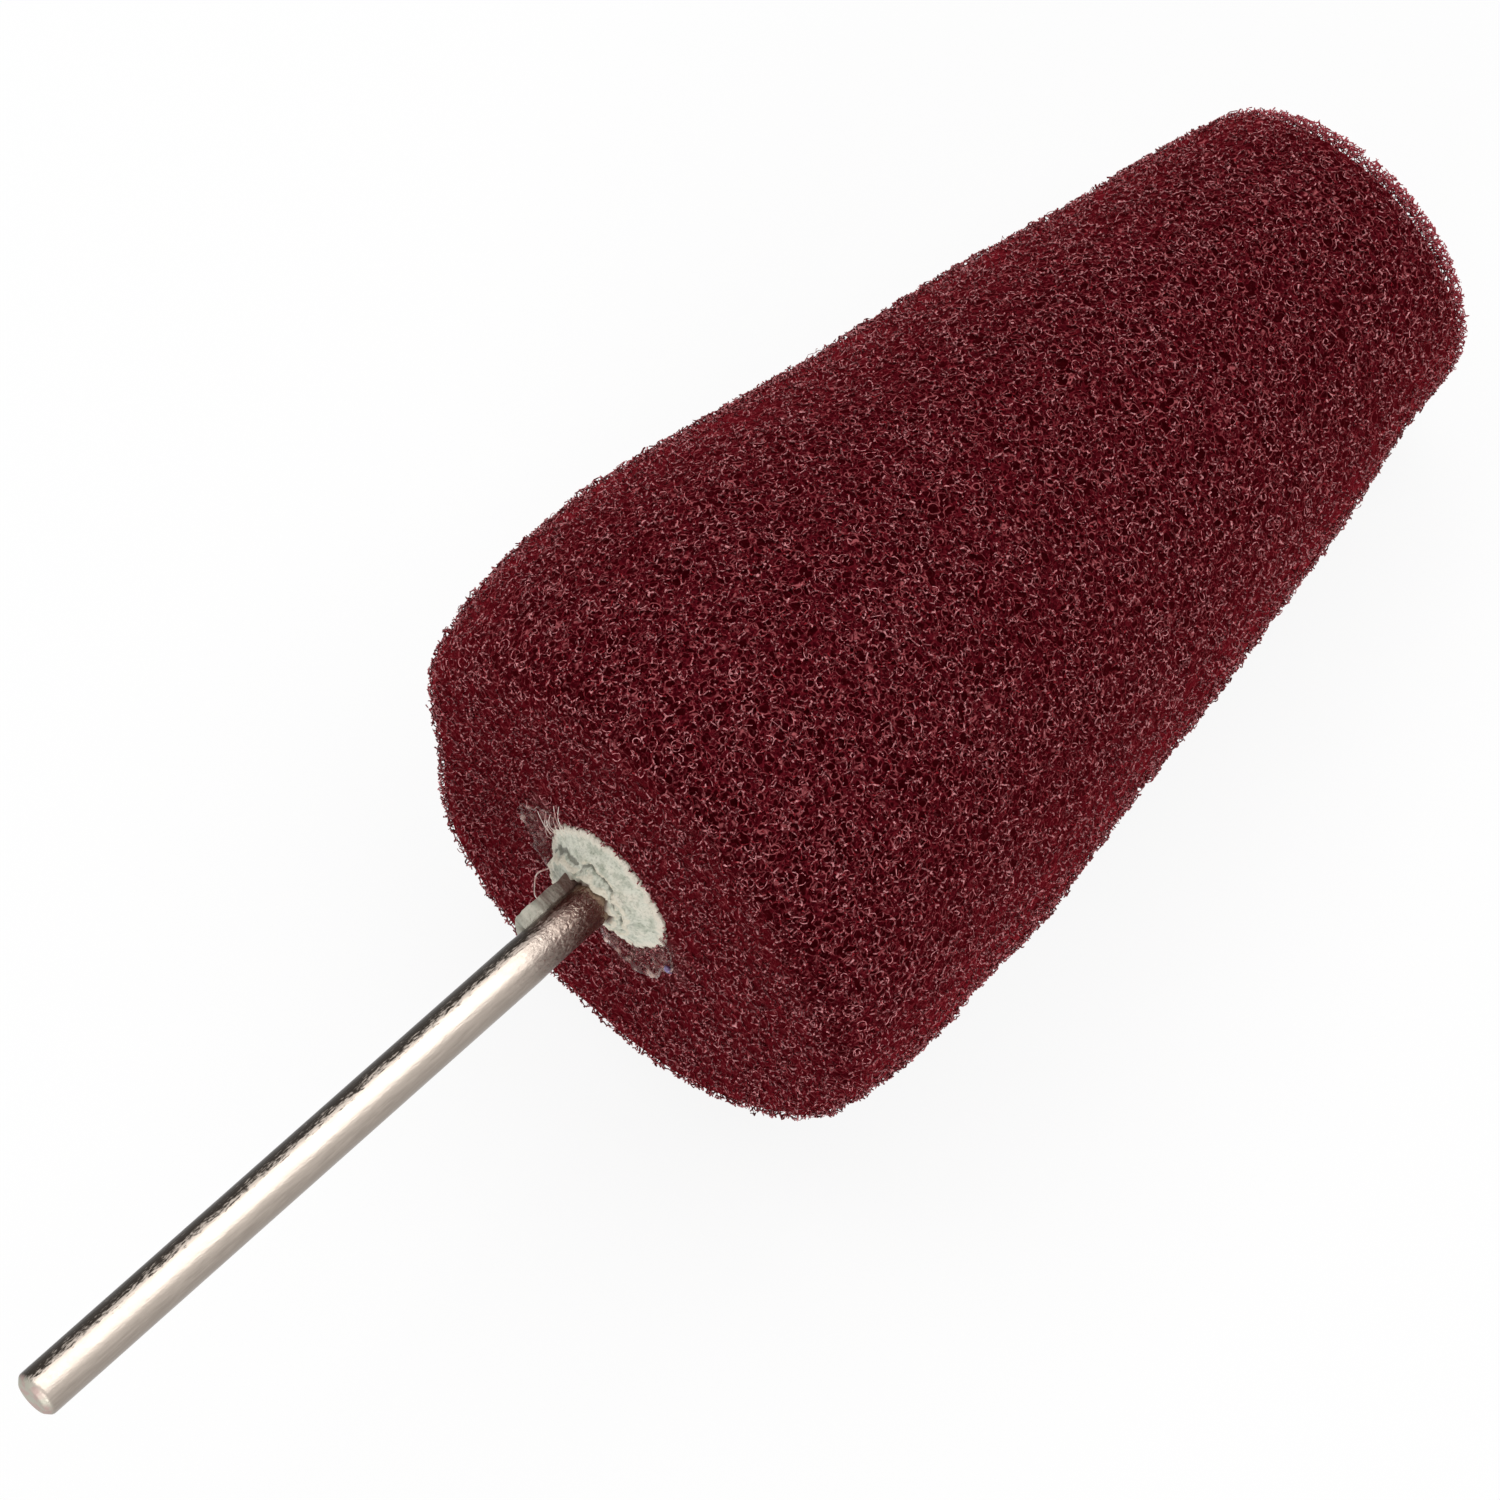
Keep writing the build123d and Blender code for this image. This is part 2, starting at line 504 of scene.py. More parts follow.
foam = {
    "depth": 0.47,  # mm of struts under the surface
    "underDepth": 0.28,  # mm where the foam faces the floor
    "underHeight": (4.0, 16.0),  # mm above the floor, over which the one passes into the other
    "tipDepth": 2.3,  # mm at the tip's rim, which light comes through
    "tipReach": 5.0,  # mm from the tip over which the struts go deeper
    "tipInner": 14.0,  # mm, the radius inside which they don't
    "tipFade": 5.0,  # mm over which they do
    "litRadii": (15.5, 5.0),  # mm, from which and over which the rim's struts get finer and are painted paler, painted light coming through the thin rim
    "rimFiner": 0.3,  # share of their size that they lose
    "rimTorn": 0.22,  # how many more of them are torn
    "ragged": 0.2,  # mm by which the cut surface strays, from cell to cell
    "raggedLength": 2.2,
    "raggedOut": 0.55,  # how much of that it stands out on the whole
    "raggedReach": 1.5,  # mm from the outline within which that is worked out
    "nodeSize": 0.119,  # mm from a node to its corners
    "sizeSpread": 0.2,
    "sizeSeed": 11,
    "shortest": 0.3,  # share of a cut strut's length, below which it has torn off
    "torn": 0.14,  # share of the struts at the surface that the grinding tore away
    "tornDepth": 0.35,  # mm
    "lotSpread": 7.31,  # makes an even lot for each strut out of the tones of its two nodes
    "rooted": 0.72,  # share of the band's depth, below which a strut isn't drawn on into the core
    "boxHalf": 43.0,  # mm, half the width of a box round the cone
    "boxBeyond": 4,  # mm that it reaches past both ends
    "pieces": ["base", "skirt", "shoulder", "flank", "tip"],
}


def raised(points):  # 0 where the foam faces the floor, 1 well above it
    low, high = foam["underHeight"]
    return smooth((fromCone(points)[..., 2] - low) / (high - low))


def tipShare(s):  # 0 to 1 over the last stretch before the tip
    return np.clip((s - (coneLength - foam["tipReach"])) / foam["tipReach"], 0, 1)


def rimShare(points):  # 1 at the tip's rim, 0 elsewhere and on the underside
    radius = np.hypot(points[..., 1], points[..., 2])
    return tipShare(points[..., 0]) * smooth((radius - foam["tipInner"]) / foam["tipFade"]) * raised(points)


def bandDepth(points):  # mm that the struts reach under the surface
    side = foam["underDepth"] + (foam["depth"] - foam["underDepth"]) * raised(points)
    return side + (foam["tipDepth"] - side) * rimShare(points)


hubPocket = {
    "radius": 9.5,  # mm
    "depth": 27.0,  # mm
    "bite": 0.5,  # mm that the struts reach into the resin
    "gap": 1.1,  # mm that the foam has drawn back from the rim on one side
    "gapBearings": (168, 212),
    "gapSoft": 14,  # degrees
}

# Where glue soaked into the foam round the hub: bearings in degrees, radii in mm
soaks = [
    {"bearings": (148, 228), "radii": (8.5, 15.0), "strength": 0.9},
    {"bearings": (-96, 6), "radii": (8.5, 14.6), "strength": 0.8},
    {"bearings": (0, 360), "radii": (8.5, 10.6), "strength": 0.12},
]
soaking = {
    "soft": 14,  # degrees at both ends
    "fade": 2.4,  # mm at the outer edge
    "wander": 1.2,  # mm by which that edge wanders
    "patches": 3.0,  # mm from one to the next
    "depth": 2.5,  # mm
}


def soakAt(points):  # how much glue is in the foam, 0 to 1
    s, x, y = points.T
    radius, bearing = np.hypot(x, y), np.degrees(np.arctan2(y, x))
    patchy = 0.75 + 0.5 * ripple(points, soaking["patches"], seed=31)
    edge = soaking["wander"] * ripple(points, soaking["fade"], seed=32)
    amount = np.zeros(len(points))
    for soak in soaks:
        low, high = soak["bearings"]
        inner, outer = soak["radii"]
        across = 1 if high - low >= 360 else within(bearing, low, high, soaking["soft"])
        spread = across * smooth((outer + edge - radius) / soaking["fade"]) * (radius > inner)
        amount = np.maximum(amount, spread * soak["strength"])
    return np.clip(amount * patchy, 0, 1) * (s < soaking["depth"])


def surfaceDepth(spots):  # mm from the ragged surface and from the hub, negative inside the foam
    radius = np.hypot(spots[..., 1], spots[..., 2])
    depth = outlineDistance(spots[..., 0], radius)
    close = np.abs(depth) < foam["raggedReach"]
    depth[close] += foam["ragged"] * (ripple(spots[close], foam["raggedLength"], seed=14) - foam["raggedOut"])
    bearing = np.degrees(np.arctan2(spots[..., 2], spots[..., 1]))
    drawnBack = hubPocket["gap"] * within(bearing, *hubPocket["gapBearings"], hubPocket["gapSoft"])
    inHub = hubPocket["radius"] - hubPocket["bite"] - radius + drawnBack
    return np.where(spots[..., 0] < hubPocket["depth"], np.maximum(depth, inHub), depth)


def foamNetwork():
    side = block["side"]
    nodesAt, link, step, match, spokes, used = foamBlock()
    spin = turned()
    ends, wide = (-foam["boxBeyond"], coneLength + foam["boxBeyond"]), (-foam["boxHalf"], foam["boxHalf"])
    corners = np.array(list(itertools.product(ends, wide, wide))) @ spin.T / side
    low, top = np.floor(corners.min(axis=0)).astype(int) - 1, np.ceil(corners.max(axis=0)).astype(int) + 1
    grid = np.stack(np.meshgrid(*[np.arange(l, t) for l, t in zip(low, top)], indexing="ij"), axis=-1)
    flat = grid.reshape(-1, 3)
    centres = (flat + 0.5) * side @ spin
    reach = outlineDistance(centres[:, 0], np.hypot(centres[:, 1], centres[:, 2]))
    half = side * math.sqrt(3) / 2
    tiles = flat[(reach < half + 0.5) & (reach > -half - 4)]  # the blocks that hold a part of the band
    tileNumber = np.full(grid.shape[:3], -1)
    tileNumber[tuple((tiles - low).T)] = np.arange(len(tiles))
    spots = (nodesAt[None] + tiles[:, None] * side) @ spin
    depth = surfaceDepth(spots)
    band = bandDepth(spots)
    inBand = (depth < 0) & (depth > -band) & used[None]
    print("foam:", len(tiles), "blocks,", int(inBand.sum()), "nodes")
    tile, node = np.nonzero(inBand)
    spot = spots[tile, node]
    nodeIndex = np.full(inBand.shape, -1)
    nodeIndex[tile, node] = np.arange(len(tile))
    spokesAt = spokes @ spin
    rng = np.random.default_rng(foam["sizeSeed"])
    size = foam["nodeSize"] * np.exp(rng.normal(0, foam["sizeSpread"], len(tile)))
    outer, over = foam["litRadii"]
    thin = rimShare(spot) * smooth((np.hypot(spot[:, 1], spot[:, 2]) - outer) / over)
    size *= 1 - foam["rimFiner"] * thin
    # The node at the far end of each strut
    farTile = tileNumber[tuple(np.moveaxis(tiles[tile][:, None] + step[node] - low, -1, 0))]
    farNode = link[node]
    return {
        "place": spot,
        "corner": spot[:, None] + spokesAt[node] * size[:, None, None],
        "depth": depth[tile, node],
        "band": band[tile, node],
        "node": node,
        "far": nodeIndex[farTile, farNode],
        "farNode": farNode,
        "farDepth": depth[farTile, farNode],
        "farPlace": spots[farTile, farNode],
        "match": match,
        "spokes": spokesAt,
        "size": size,
        "tone": rng.random(len(tile)),
        "soak": soakAt(spot),
        "thin": thin,
    }


def strutOrder(net):  # the three corners round each strut, anticlockwise as seen from its far end
    order = np.zeros((len(net["spokes"]), 4, 3), int)
    for k in range(4):
        trio = [i for i in range(4) if i != k]
        u = net["spokes"][:, trio]
        turn = np.einsum("ij,ij->i", np.cross(u[:, 1] - u[:, 0], u[:, 2] - u[:, 0]), -net["spokes"][:, k])
        order[:, k] = np.where(turn[:, None] > 0, trio, trio[::-1])
    return order


def strutSides(a, b):  # the three sides of each strut, from three corners at one end to three at the other
    return [np.column_stack([a[:, i], a[:, j], b[:, j], b[:, i]]) for i, j in ((0, 1), (1, 2), (2, 0))]


def foamPiece(net, order, name, mine, material):  # the struts of the nodes numbered in mine
    local = np.full(len(net["place"]), -1)
    local[mine] = np.arange(len(mine))
    node, depth, tone = net["node"][mine], net["depth"][mine], net["tone"][mine]
    points = [net["corner"][mine].reshape(-1, 3)]
    carried = {key: [np.repeat(net[key][mine], 4)] for key in ("tone", "depth", "soak", "thin")}
    quads, caps = [], []
    used = 4 * len(mine)
    for k in range(4):
        far, farDepth = net["far"][mine, k], net["farDepth"][mine, k]
        here = order[node, k]
        there = np.take_along_axis(net["match"][node, k], here, axis=1)
        lot = (tone + net["tone"][np.maximum(far, 0)]) * foam["lotSpread"] % 1
        shallow = (depth > -foam["tornDepth"]) & (farDepth > -foam["tornDepth"]) & (far >= 0)
        out = (far < 0) & (farDepth > 0)
        reach = np.where(out, -depth / np.maximum(farDepth - depth, 1e-6), 1)
        buried = (far < 0) & ~out & (depth < -foam["rooted"] * net["band"][mine])
        torn = foam["torn"] + foam["rimTorn"] * net["thin"][mine]
        gone = (shallow & (lot < torn)) | (out & (reach < foam["shortest"])) | buried
        caps.append(4 * local[mine[gone]][:, None] + here[gone])
        # Struts between two nodes of this piece, drawn once
        whole = (far >= 0) & (local[far] >= 0) & ~gone
        once = whole & (mine < far)
        a = 4 * local[mine[once]][:, None] + here[once]
        b = 4 * local[far[once]][:, None] + there[once]
        quads += strutSides(a, b)
        # Struts that end at the surface, in the core or halfway to the next piece
        loose = ~whole & ~gone
        shared = (far >= 0) & loose
        reach[shared] = 0.5
        farSize = np.where(shared, net["size"][np.maximum(far, 0)], foam["nodeSize"])
        spokes = net["spokes"][net["farNode"][mine, k][:, None], there]
        end = net["farPlace"][mine, k][:, None] + spokes * farSize[:, None, None]
        start = np.take_along_axis(net["corner"][mine], here[:, :, None], axis=1)
        cut = (start + (end - start) * reach[:, None, None])[loose]
        a = 4 * local[mine[loose]][:, None] + here[loose]
        b = used + np.arange(3 * len(cut)).reshape(-1, 3)
        used += 3 * len(cut)
        points.append(cut.reshape(-1, 3))
        for key, parts in carried.items():
            value = np.where(out, 0, depth) if key == "depth" else net[key][mine]
            parts.append(np.repeat(value[loose], 3))
        quads += strutSides(a, b)
        caps.append(b)
    points = place(np.concatenate(points))
    piece = meshObject(name, points, [np.concatenate(quads), np.concatenate(caps)], material)
    for key, parts in carried.items():
        setAttribute(piece, key, np.concatenate(parts))
    return piece


def buildFoam(material):
    net = foamNetwork()
    order = strutOrder(net)
    s = net["place"][:, 0]
    cuts = np.quantile(s, np.linspace(0, 1, len(foam["pieces"]) + 1)[1:-1])
    group = np.searchsorted(cuts, s)
    pieces = []
    for number, part in enumerate(foam["pieces"]):
        mine = np.nonzero(group == number)[0]
        pieces.append(foamPiece(net, order, f"foam_{part}_cells", mine, material))
    return pieces


# The dark core under the struts, a shell that stands for the deeper foam, in painted shade

core = {
    "around": 96,
    "stepLength": 3.0,  # mm between rings
    "inset": 0.43,  # mm under the surface
    "tipInset": 3.4,  # mm under it at the tip's rim
    "baseFrom": 5.0,  # mm along the axis, below which it is painted darker towards the base, painted shade
    "baseOver": 4.0,
}


def foamShell(inset, tipInset, stepLength, around):  # the turned outline drawn in, in the cone's frame
    lengths = np.concatenate([[0], np.cumsum(np.linalg.norm(np.diff(outline, axis=0), axis=1))])
    marks = np.linspace(0, lengths[-1], int(lengths[-1] / stepLength))
    line = np.column_stack([np.interp(marks, lengths, outline[:, i]) for i in (0, 1)])
    slope = np.gradient(line, axis=0)
    slope /= np.linalg.norm(slope, axis=1, keepdims=True)
    inward = np.column_stack([slope[:, 1], -slope[:, 0]])
    line = line + inward * (inset + (tipInset - inset) * tipShare(line[:, 0]))[:, None]
    line[:, 1] = np.maximum(line[:, 1], 0)
    line = line[1:-1]
    points = np.vstack([turnedRings(line, around), [line[0, 0], 0, 0], [line[-1, 0], 0, 0]])
    return points, [ringQuads(len(line), around), endFans(len(line), around)]


def buildCore(material):
    steps = (core["stepLength"], core["around"])
    points, faces = foamShell(core["inset"], core["inset"], *steps)
    deeper, _ = foamShell(core["inset"], core["tipInset"], *steps)
    points += (deeper - points) * rimShare(foamShell(0, 0, *steps)[0])[:, None]
    piece = meshObject("foam_core", place(points), faces, material)
    setAttribute(piece, "soak", soakAt(points))
    setAttribute(piece, "base", smooth((core["baseFrom"] - points[:, 0]) / core["baseOver"]))
    return piece


# Curls: the round rims of cells that the cutting left standing, and a few long loose fibres

curls = {
    "floorGap": 5.0,  # mm above the floor, below which none stand
    "baseReach": 1.0,  # mm along the axis, the part of the foam that counts as its base
    "hubGap": 11.5,  # mm from the axis on the base, inside which none stand
    "threadSides": 3,
    "surface": {"inset": 0.1, "tipInset": 0.3, "stepLength": 2.0, "around": 120},
    # The inputs of the node tree: sizes in mm, sweep and tilt in radians
    "pieces": {
        "foam_curls": {
            "Each m2": 50000.0,
            "Smallest": 0.32,
            "Largest": 0.8,
            "Sweep": 5.2,
            "Steps": 9,
            "Thread": 0.055,
            "Tilt": 0.55,
            "Lift": 0.1,
            "Stray": 0.3,
            "Seed": 5,
        },
        "foam_fibres": {
            "Each m2": 3000.0,
            "Smallest": 1.2,
            "Largest": 3.0,
            "Sweep": 1.9,
            "Steps": 14,
            "Thread": 0.045,
            "Tilt": 0.25,
            "Lift": 0.2,
            "Stray": 0.9,
            "Seed": 9,
        },
    },
    "strayScale": 900.0,  # waves to a metre
}


def curlTree(material):
    group = bpy.data.node_groups.new("scatterCurls", "GeometryNodeTree")
    group.interface.new_socket("Surface", in_out="INPUT", socket_type="NodeSocketGeometry")
    for name, value in curls["pieces"]["foam_curls"].items():
        kind = "NodeSocketInt" if isinstance(value, int) else "NodeSocketFloat"
        group.interface.new_socket(name, in_out="INPUT", socket_type=kind)
    group.interface.new_socket("Curls", in_out="OUTPUT", socket_type="NodeSocketGeometry")
    tree = Tree(group)
    given = group.nodes.new("NodeGroupInput")
    value = {socket.name: Socket(tree, socket) for socket in given.outputs if socket.name}

    # Places on the surface, each lifted a little
    scatter = {"Mesh": value["Surface"], "Density": value["Each m2"], "Seed": value["Seed"]}
    points = tree.add("GeometryNodeDistributePointsOnFaces", {"distribute_method": "RANDOM"}, scatter)
    scattered = points.output.node
    normal, facing = (Socket(tree, scattered.outputs[name]) for name in ("Normal", "Rotation"))
    chance = tree.add("FunctionNodeRandomValue", {"data_type": "FLOAT"}, {2: 0.0, 3: 1.0, "Seed": 1}, 1)
    lift = tree.vectorMaths("SCALE", {0: normal, "Scale": chance * value["Lift"] * mm})
    points = tree.add("GeometryNodeSetPosition", {}, {"Geometry": points, "Offset": lift})

    # An arc at each place, leant and turned at random
    arc = {"Resolution": value["Steps"], "Radius": 1.0, "Sweep Angle": value["Sweep"]}
    arc = tree.add("GeometryNodeCurveArc", {"mode": "RADIUS"}, arc)
    tilt = value["Tilt"]
    low = tree.add("ShaderNodeCombineXYZ", {}, {"X": 0 - tilt, "Y": 0 - tilt, "Z": 0.0})
    high = tree.add("ShaderNodeCombineXYZ", {}, {"X": tilt, "Y": tilt, "Z": 2 * math.pi})
    lean = tree.add("FunctionNodeRandomValue", {"data_type": "FLOAT_VECTOR"}, {0: low, 1: high, "Seed": 2})
    turn = {0: facing, 1: tree.add("FunctionNodeEulerToRotation", {}, {0: lean})}
    turn = tree.add("FunctionNodeRotateRotation", {"rotation_space": "LOCAL"}, turn)
    sizes = {2: value["Smallest"] * mm, 3: value["Largest"] * mm, "Seed": 3}
    size = tree.add("FunctionNodeRandomValue", {"data_type": "FLOAT"}, sizes, 1)
    copies = {"Points": points, "Instance": arc, "Rotation": turn, "Scale": size}
    copies = tree.add("GeometryNodeInstanceOnPoints", {}, copies)
    lines = tree.add("GeometryNodeRealizeInstances", {}, {"Geometry": copies})

    # The arcs stray from round and get a thread's thickness
    drift = tree.add("ShaderNodeTexNoise", {}, {"Scale": curls["strayScale"], "Detail": 0.0}, "Color")
    drift = tree.vectorMaths("SUBTRACT", {0: drift, 1: (0.5, 0.5, 0.5)})
    drift = tree.vectorMaths("SCALE", {0: drift, "Scale": value["Stray"] * 2 * mm})
    lines = tree.add("GeometryNodeSetPosition", {}, {"Geometry": lines, "Offset": drift})
    ring = {"Resolution": curls["threadSides"], "Radius": value["Thread"] * mm}
    ring = tree.add("GeometryNodeCurvePrimitiveCircle", {"mode": "RADIUS"}, ring)
    threads = {"Curve": lines, "Profile Curve": ring, "Fill Caps": True}
    threads = tree.add("GeometryNodeCurveToMesh", {}, threads)
    threads = tree.add("GeometryNodeSetShadeSmooth", {}, {"Geometry": threads})
    threads = tree.add("GeometryNodeRealizeInstances", {}, {"Geometry": threads})
    threads = tree.add("GeometryNodeSetMaterial", {}, {"Geometry": threads, "Material": material})
    tree.add("NodeGroupOutput", {}, {"Curls": threads})
    return group


def buildCurls(material):
    group = curlTree(material)
    sockets = {item.name: item.identifier for item in group.interface.items_tree if item.in_out == "INPUT"}
    points, faces = foamShell(**curls["surface"])
    placed = place(points)
    radius = np.hypot(points[:, 1], points[:, 2])
    byHub = (points[:, 0] < curls["baseReach"]) & (radius < curls["hubGap"])
    bare = (placed[:, 2] < curls["floorGap"]) | byHub
    faces = [corners[~bare[corners].any(axis=1)] for corners in faces]
    for name, values in curls["pieces"].items():
        surface = meshObject("curl_surface", placed, faces, material, rides=False)
        modifier = surface.modifiers.new("curls", "NODES")
        modifier.node_group = group
        for socket, value in values.items():
            modifier[sockets[socket]] = value
        evaluated = surface.evaluated_get(bpy.context.evaluated_depsgraph_get())
        mesh = bpy.data.meshes.new_from_object(evaluated)
        bpy.data.objects.remove(surface)
        mesh.name = name
        piece = newObject(name, mesh)
        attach(piece, "root")
        print(name, len(mesh.polygons), "faces")


# The shank: the CAD rod's own outline, turned with finer steps

shank = {
    "around": 128,
    "softness": 0.06,  # mm by which its edges are broken
    "endSoftness": 0.36,  # mm, the same at the free end
    "endReach": 2.0,  # mm along the axis, the part that counts as the free end
    "bends": 4,  # points round each edge
    "bendShare": 0.4,  # of a line's length, the most that a bend takes
    "blend": 4.0,  # mm over which the relieved root runs into the grip
    "stepLength": 0.3,  # mm, a little longer than the CAD rod's step from root to grip
    "near": 0.06,  # mm within which points lie at one station
    "endHole": 0.02,  # mm, the radius at which the end faces start
    "sharpest": 35,  # degrees between faces that are shaded as one
}


def shankOutline():  # (mm along the axis, radius) from the free end to the anchor's, read from the CAD rod
    s, x, y = cadPoints("shank").T
    radius = np.hypot(x, y)
    stations = np.unique(np.round(s, 1))
    line = np.array([(station, radius[np.abs(s - station) < shank["near"]].max()) for station in stations])
    step = np.nonzero(np.diff(line[:, 0]) < shank["stepLength"])[0][0]
    line[step : step + 2, 0] += np.array([-0.5, 0.5]) * shank["blend"]
    return line


def buildShank(material):
    line = shankOutline()
    line = np.vstack([[line[0, 0], shank["endHole"]], line, [line[-1, 0], shank["endHole"]]])
    soft = [line[0]]
    for before, corner, after in zip(line[:-2], line[1:-1], line[2:]):
        worn = shank["endSoftness"] if corner[0] < line[0, 0] + shank["endReach"] else shank["softness"]
        reaches = [min(worn / np.linalg.norm(end - corner), shank["bendShare"]) for end in (before, after)]
        for share in np.linspace(0, 1, shank["bends"]):  # a short curve round the corner
            back = reaches[0] * (1 - share) ** 2 * (before - corner)
            soft.append(corner + (back + reaches[1] * share**2 * (after - corner)))
    line = np.array([*soft, line[-1]])
    around = shank["around"]
    points = turnedRings(line, around)
    faces = outward(points, [ringQuads(len(line), around), endDiscs(len(line), around)])
    piece = meshObject("shank_rod", fromCone(points), faces, material)
    piece.data.set_sharp_from_angle(angle=math.radians(shank["sharpest"]))
    return piece


# The hub: resin poured round the shank, a dome whose rim the struts bite into, with a torn collar and a flake

hub = {
    "around": 480,
    "rings": 30,
    "innerRadius": 2.75,  # mm, inside the steel
    "rimRadius": 9.45,
    "rimDrift": 0.22,  # mm, slow wander of the rim
    "rimDriftLength": 7.0,
    "toothDepth": 0.42,  # mm that the foam's struts bite into the rim
    "toothLength": 0.75,  # mm from one bite to the next
    "proud": 0.14,  # mm that the rim stands on the base
    "rimFall": 0.3,  # mm by which it is rounded off
    "domeHeight": 1.7,
    "domeRadii": (3.9, 9.0),
    "collarRadius": 3.7,
    "collarSlope": 0.8,  # mm over which it falls away
    "collarHeight": 0.85,
    "collarBearings": (-62, 172),
    "collarSoft": 22,  # degrees at both ends
    "grooveTurn": (25, 107),  # degrees, between which the groove drifts outwards
    "grooveRadii": (3.75, 5.0),
    "grooveHalf": 0.42,  # mm, half its width
    "grooveDepth": 0.8,
    "grooveBearings": (-8, 140),
    "ledgeRadii": (5.3, 4.6),
    "ledgeTurn": (-25, 60),
    "ledgeHalf": 0.6,
    "ledgeHeight": 0.55,
    "ledgeBearings": (-75, 84),
    "ringSoft": 20,  # degrees at both ends of the groove and the ledge
    "flakeHeight": 2.6,  # mm above the base
    "flakeFall": 0.12,  # mm to a mm outwards
    "flakeEdge": 0.3,  # mm over which its edge rises
    "hollowReach": 0.6,  # mm round a place that is looked at for how deep it lies
    "closedAt": 3.0,  # mm under the base, inside the foam
    "closedRadius": 8.4,
    "edgeFrom": 0.86,  # share of the radius from which the disc is paler
    "edgeOver": 0.1,
    "stainRadius": 3.5,  # mm from the axis, inside which it is painted brown round the steel, painted contact shadow
}
# The flake's corners, mm sideways and upwards from the tool's axis
flakeOutline = [
    (-7.2, 0.7),
    (-6.2, 1.8),
    (-4.5, 2.7),
    (-3.3, 3.4),
    (-3.0, -1.5),
    (-6.6, -6.1),
    (-7.1, -4.6),
    (-7.7, -2.6),
]


def polygonDistance(x, y, corners):  # mm from a polygon's edge, positive inside
    best = np.full(x.shape, 1e9)
    inside = np.zeros(x.shape, bool)
    for (x0, y0), (x1, y1) in zip(corners, corners[1:] + corners[:1]):
        dx, dy = x1 - x0, y1 - y0
        share = np.clip(((x - x0) * dx + (y - y0) * dy) / (dx * dx + dy * dy), 0, 1)
        best = np.minimum(best, np.hypot(x - x0 - share * dx, y - y0 - share * dy))
        crosses = (y0 > y) != (y1 > y)
        inside ^= crosses & (x < x0 + (y - y0) * dx / (dy if dy else 1e-9))
    return np.where(inside, best, -best)


def hubHeight(x, y):  # mm that the resin stands on the base
    radius, bearing = np.hypot(x, y), np.degrees(np.arctan2(y, x))
    flat = np.column_stack([x, y])
    inner, outer = hub["domeRadii"]
    height = hub["proud"] + hub["domeHeight"] * smooth((outer - radius) / (outer - inner))

    # The collar, the groove behind it and the ledge outside that
    rough = 1 + 0.3 * ripple(flat, 2.6, seed=41) + 0.1 * ripple(flat, 0.9, seed=48)
    lip = hub["collarHeight"] * rough * within(bearing, *hub["collarBearings"], hub["collarSoft"])
    ragged = 0.15 * ripple(flat, 2.6, seed=47)
    slope = hub["collarSlope"]
    height += lip * smooth((hub["collarRadius"] + slope - radius + ragged) / slope)
    wander = 0.3 * ripple(flat, 4.0, seed=42) + 0.06 * ripple(flat, 1.0, seed=49)
    groove = np.interp(bearing, hub["grooveTurn"], hub["grooveRadii"])
    groove = hump(radius + wander, groove, hub["grooveHalf"])
    ledge = np.interp(bearing, hub["ledgeTurn"], hub["ledgeRadii"])
    ledge = hump(radius - wander, ledge, hub["ledgeHalf"])
    height -= hub["grooveDepth"] * groove * within(bearing, *hub["grooveBearings"], hub["ringSoft"])
    height += hub["ledgeHeight"] * rough * ledge * within(bearing, *hub["ledgeBearings"], hub["ringSoft"])
    height += 0.1 * ripple(flat, 2.2, seed=43) + 0.035 * ripple(flat, 0.55, seed=44)

    # The flake on top
    over = hub["flakeEdge"]
    edge = polygonDistance(x, y, flakeOutline) + 0.2 * ripple(flat, 2.2, seed=45)
    flake = hub["flakeHeight"] + 0.09 * ripple(flat, 1.3, seed=46) - hub["flakeFall"] * (radius - 5)
    withFlake = np.maximum(height, height + (flake - height) * smooth(edge / over + 0.4))
    return np.where(edge > -over, withFlake, height)


def hubHollow(x, y, height):  # mm by which the resin's face lies under what is round it, negative on a ridge
    ways = [(math.cos(a), math.sin(a)) for a in np.linspace(0, 2 * math.pi, 8, endpoint=False)]
    reach = hub["hollowReach"]
    return sum(hubHeight(x + reach * c, y + reach * s) for c, s in ways) / 8 - height


def rimRadius(turn):  # mm, with the bites of the struts
    ring = np.column_stack([np.cos(turn), np.sin(turn)]) * hub["rimRadius"]
    coarse, fine = ripple(ring, 2 * hub["toothLength"], seed=51), ripple(ring, hub["toothLength"], seed=52)
    bites = np.abs(coarse) + 0.5 * np.abs(fine)
    drift = hub["rimDrift"] * ripple(ring, hub["rimDriftLength"], seed=53)
    return hub["rimRadius"] + drift + hub["toothDepth"] * (0.6 - bites)


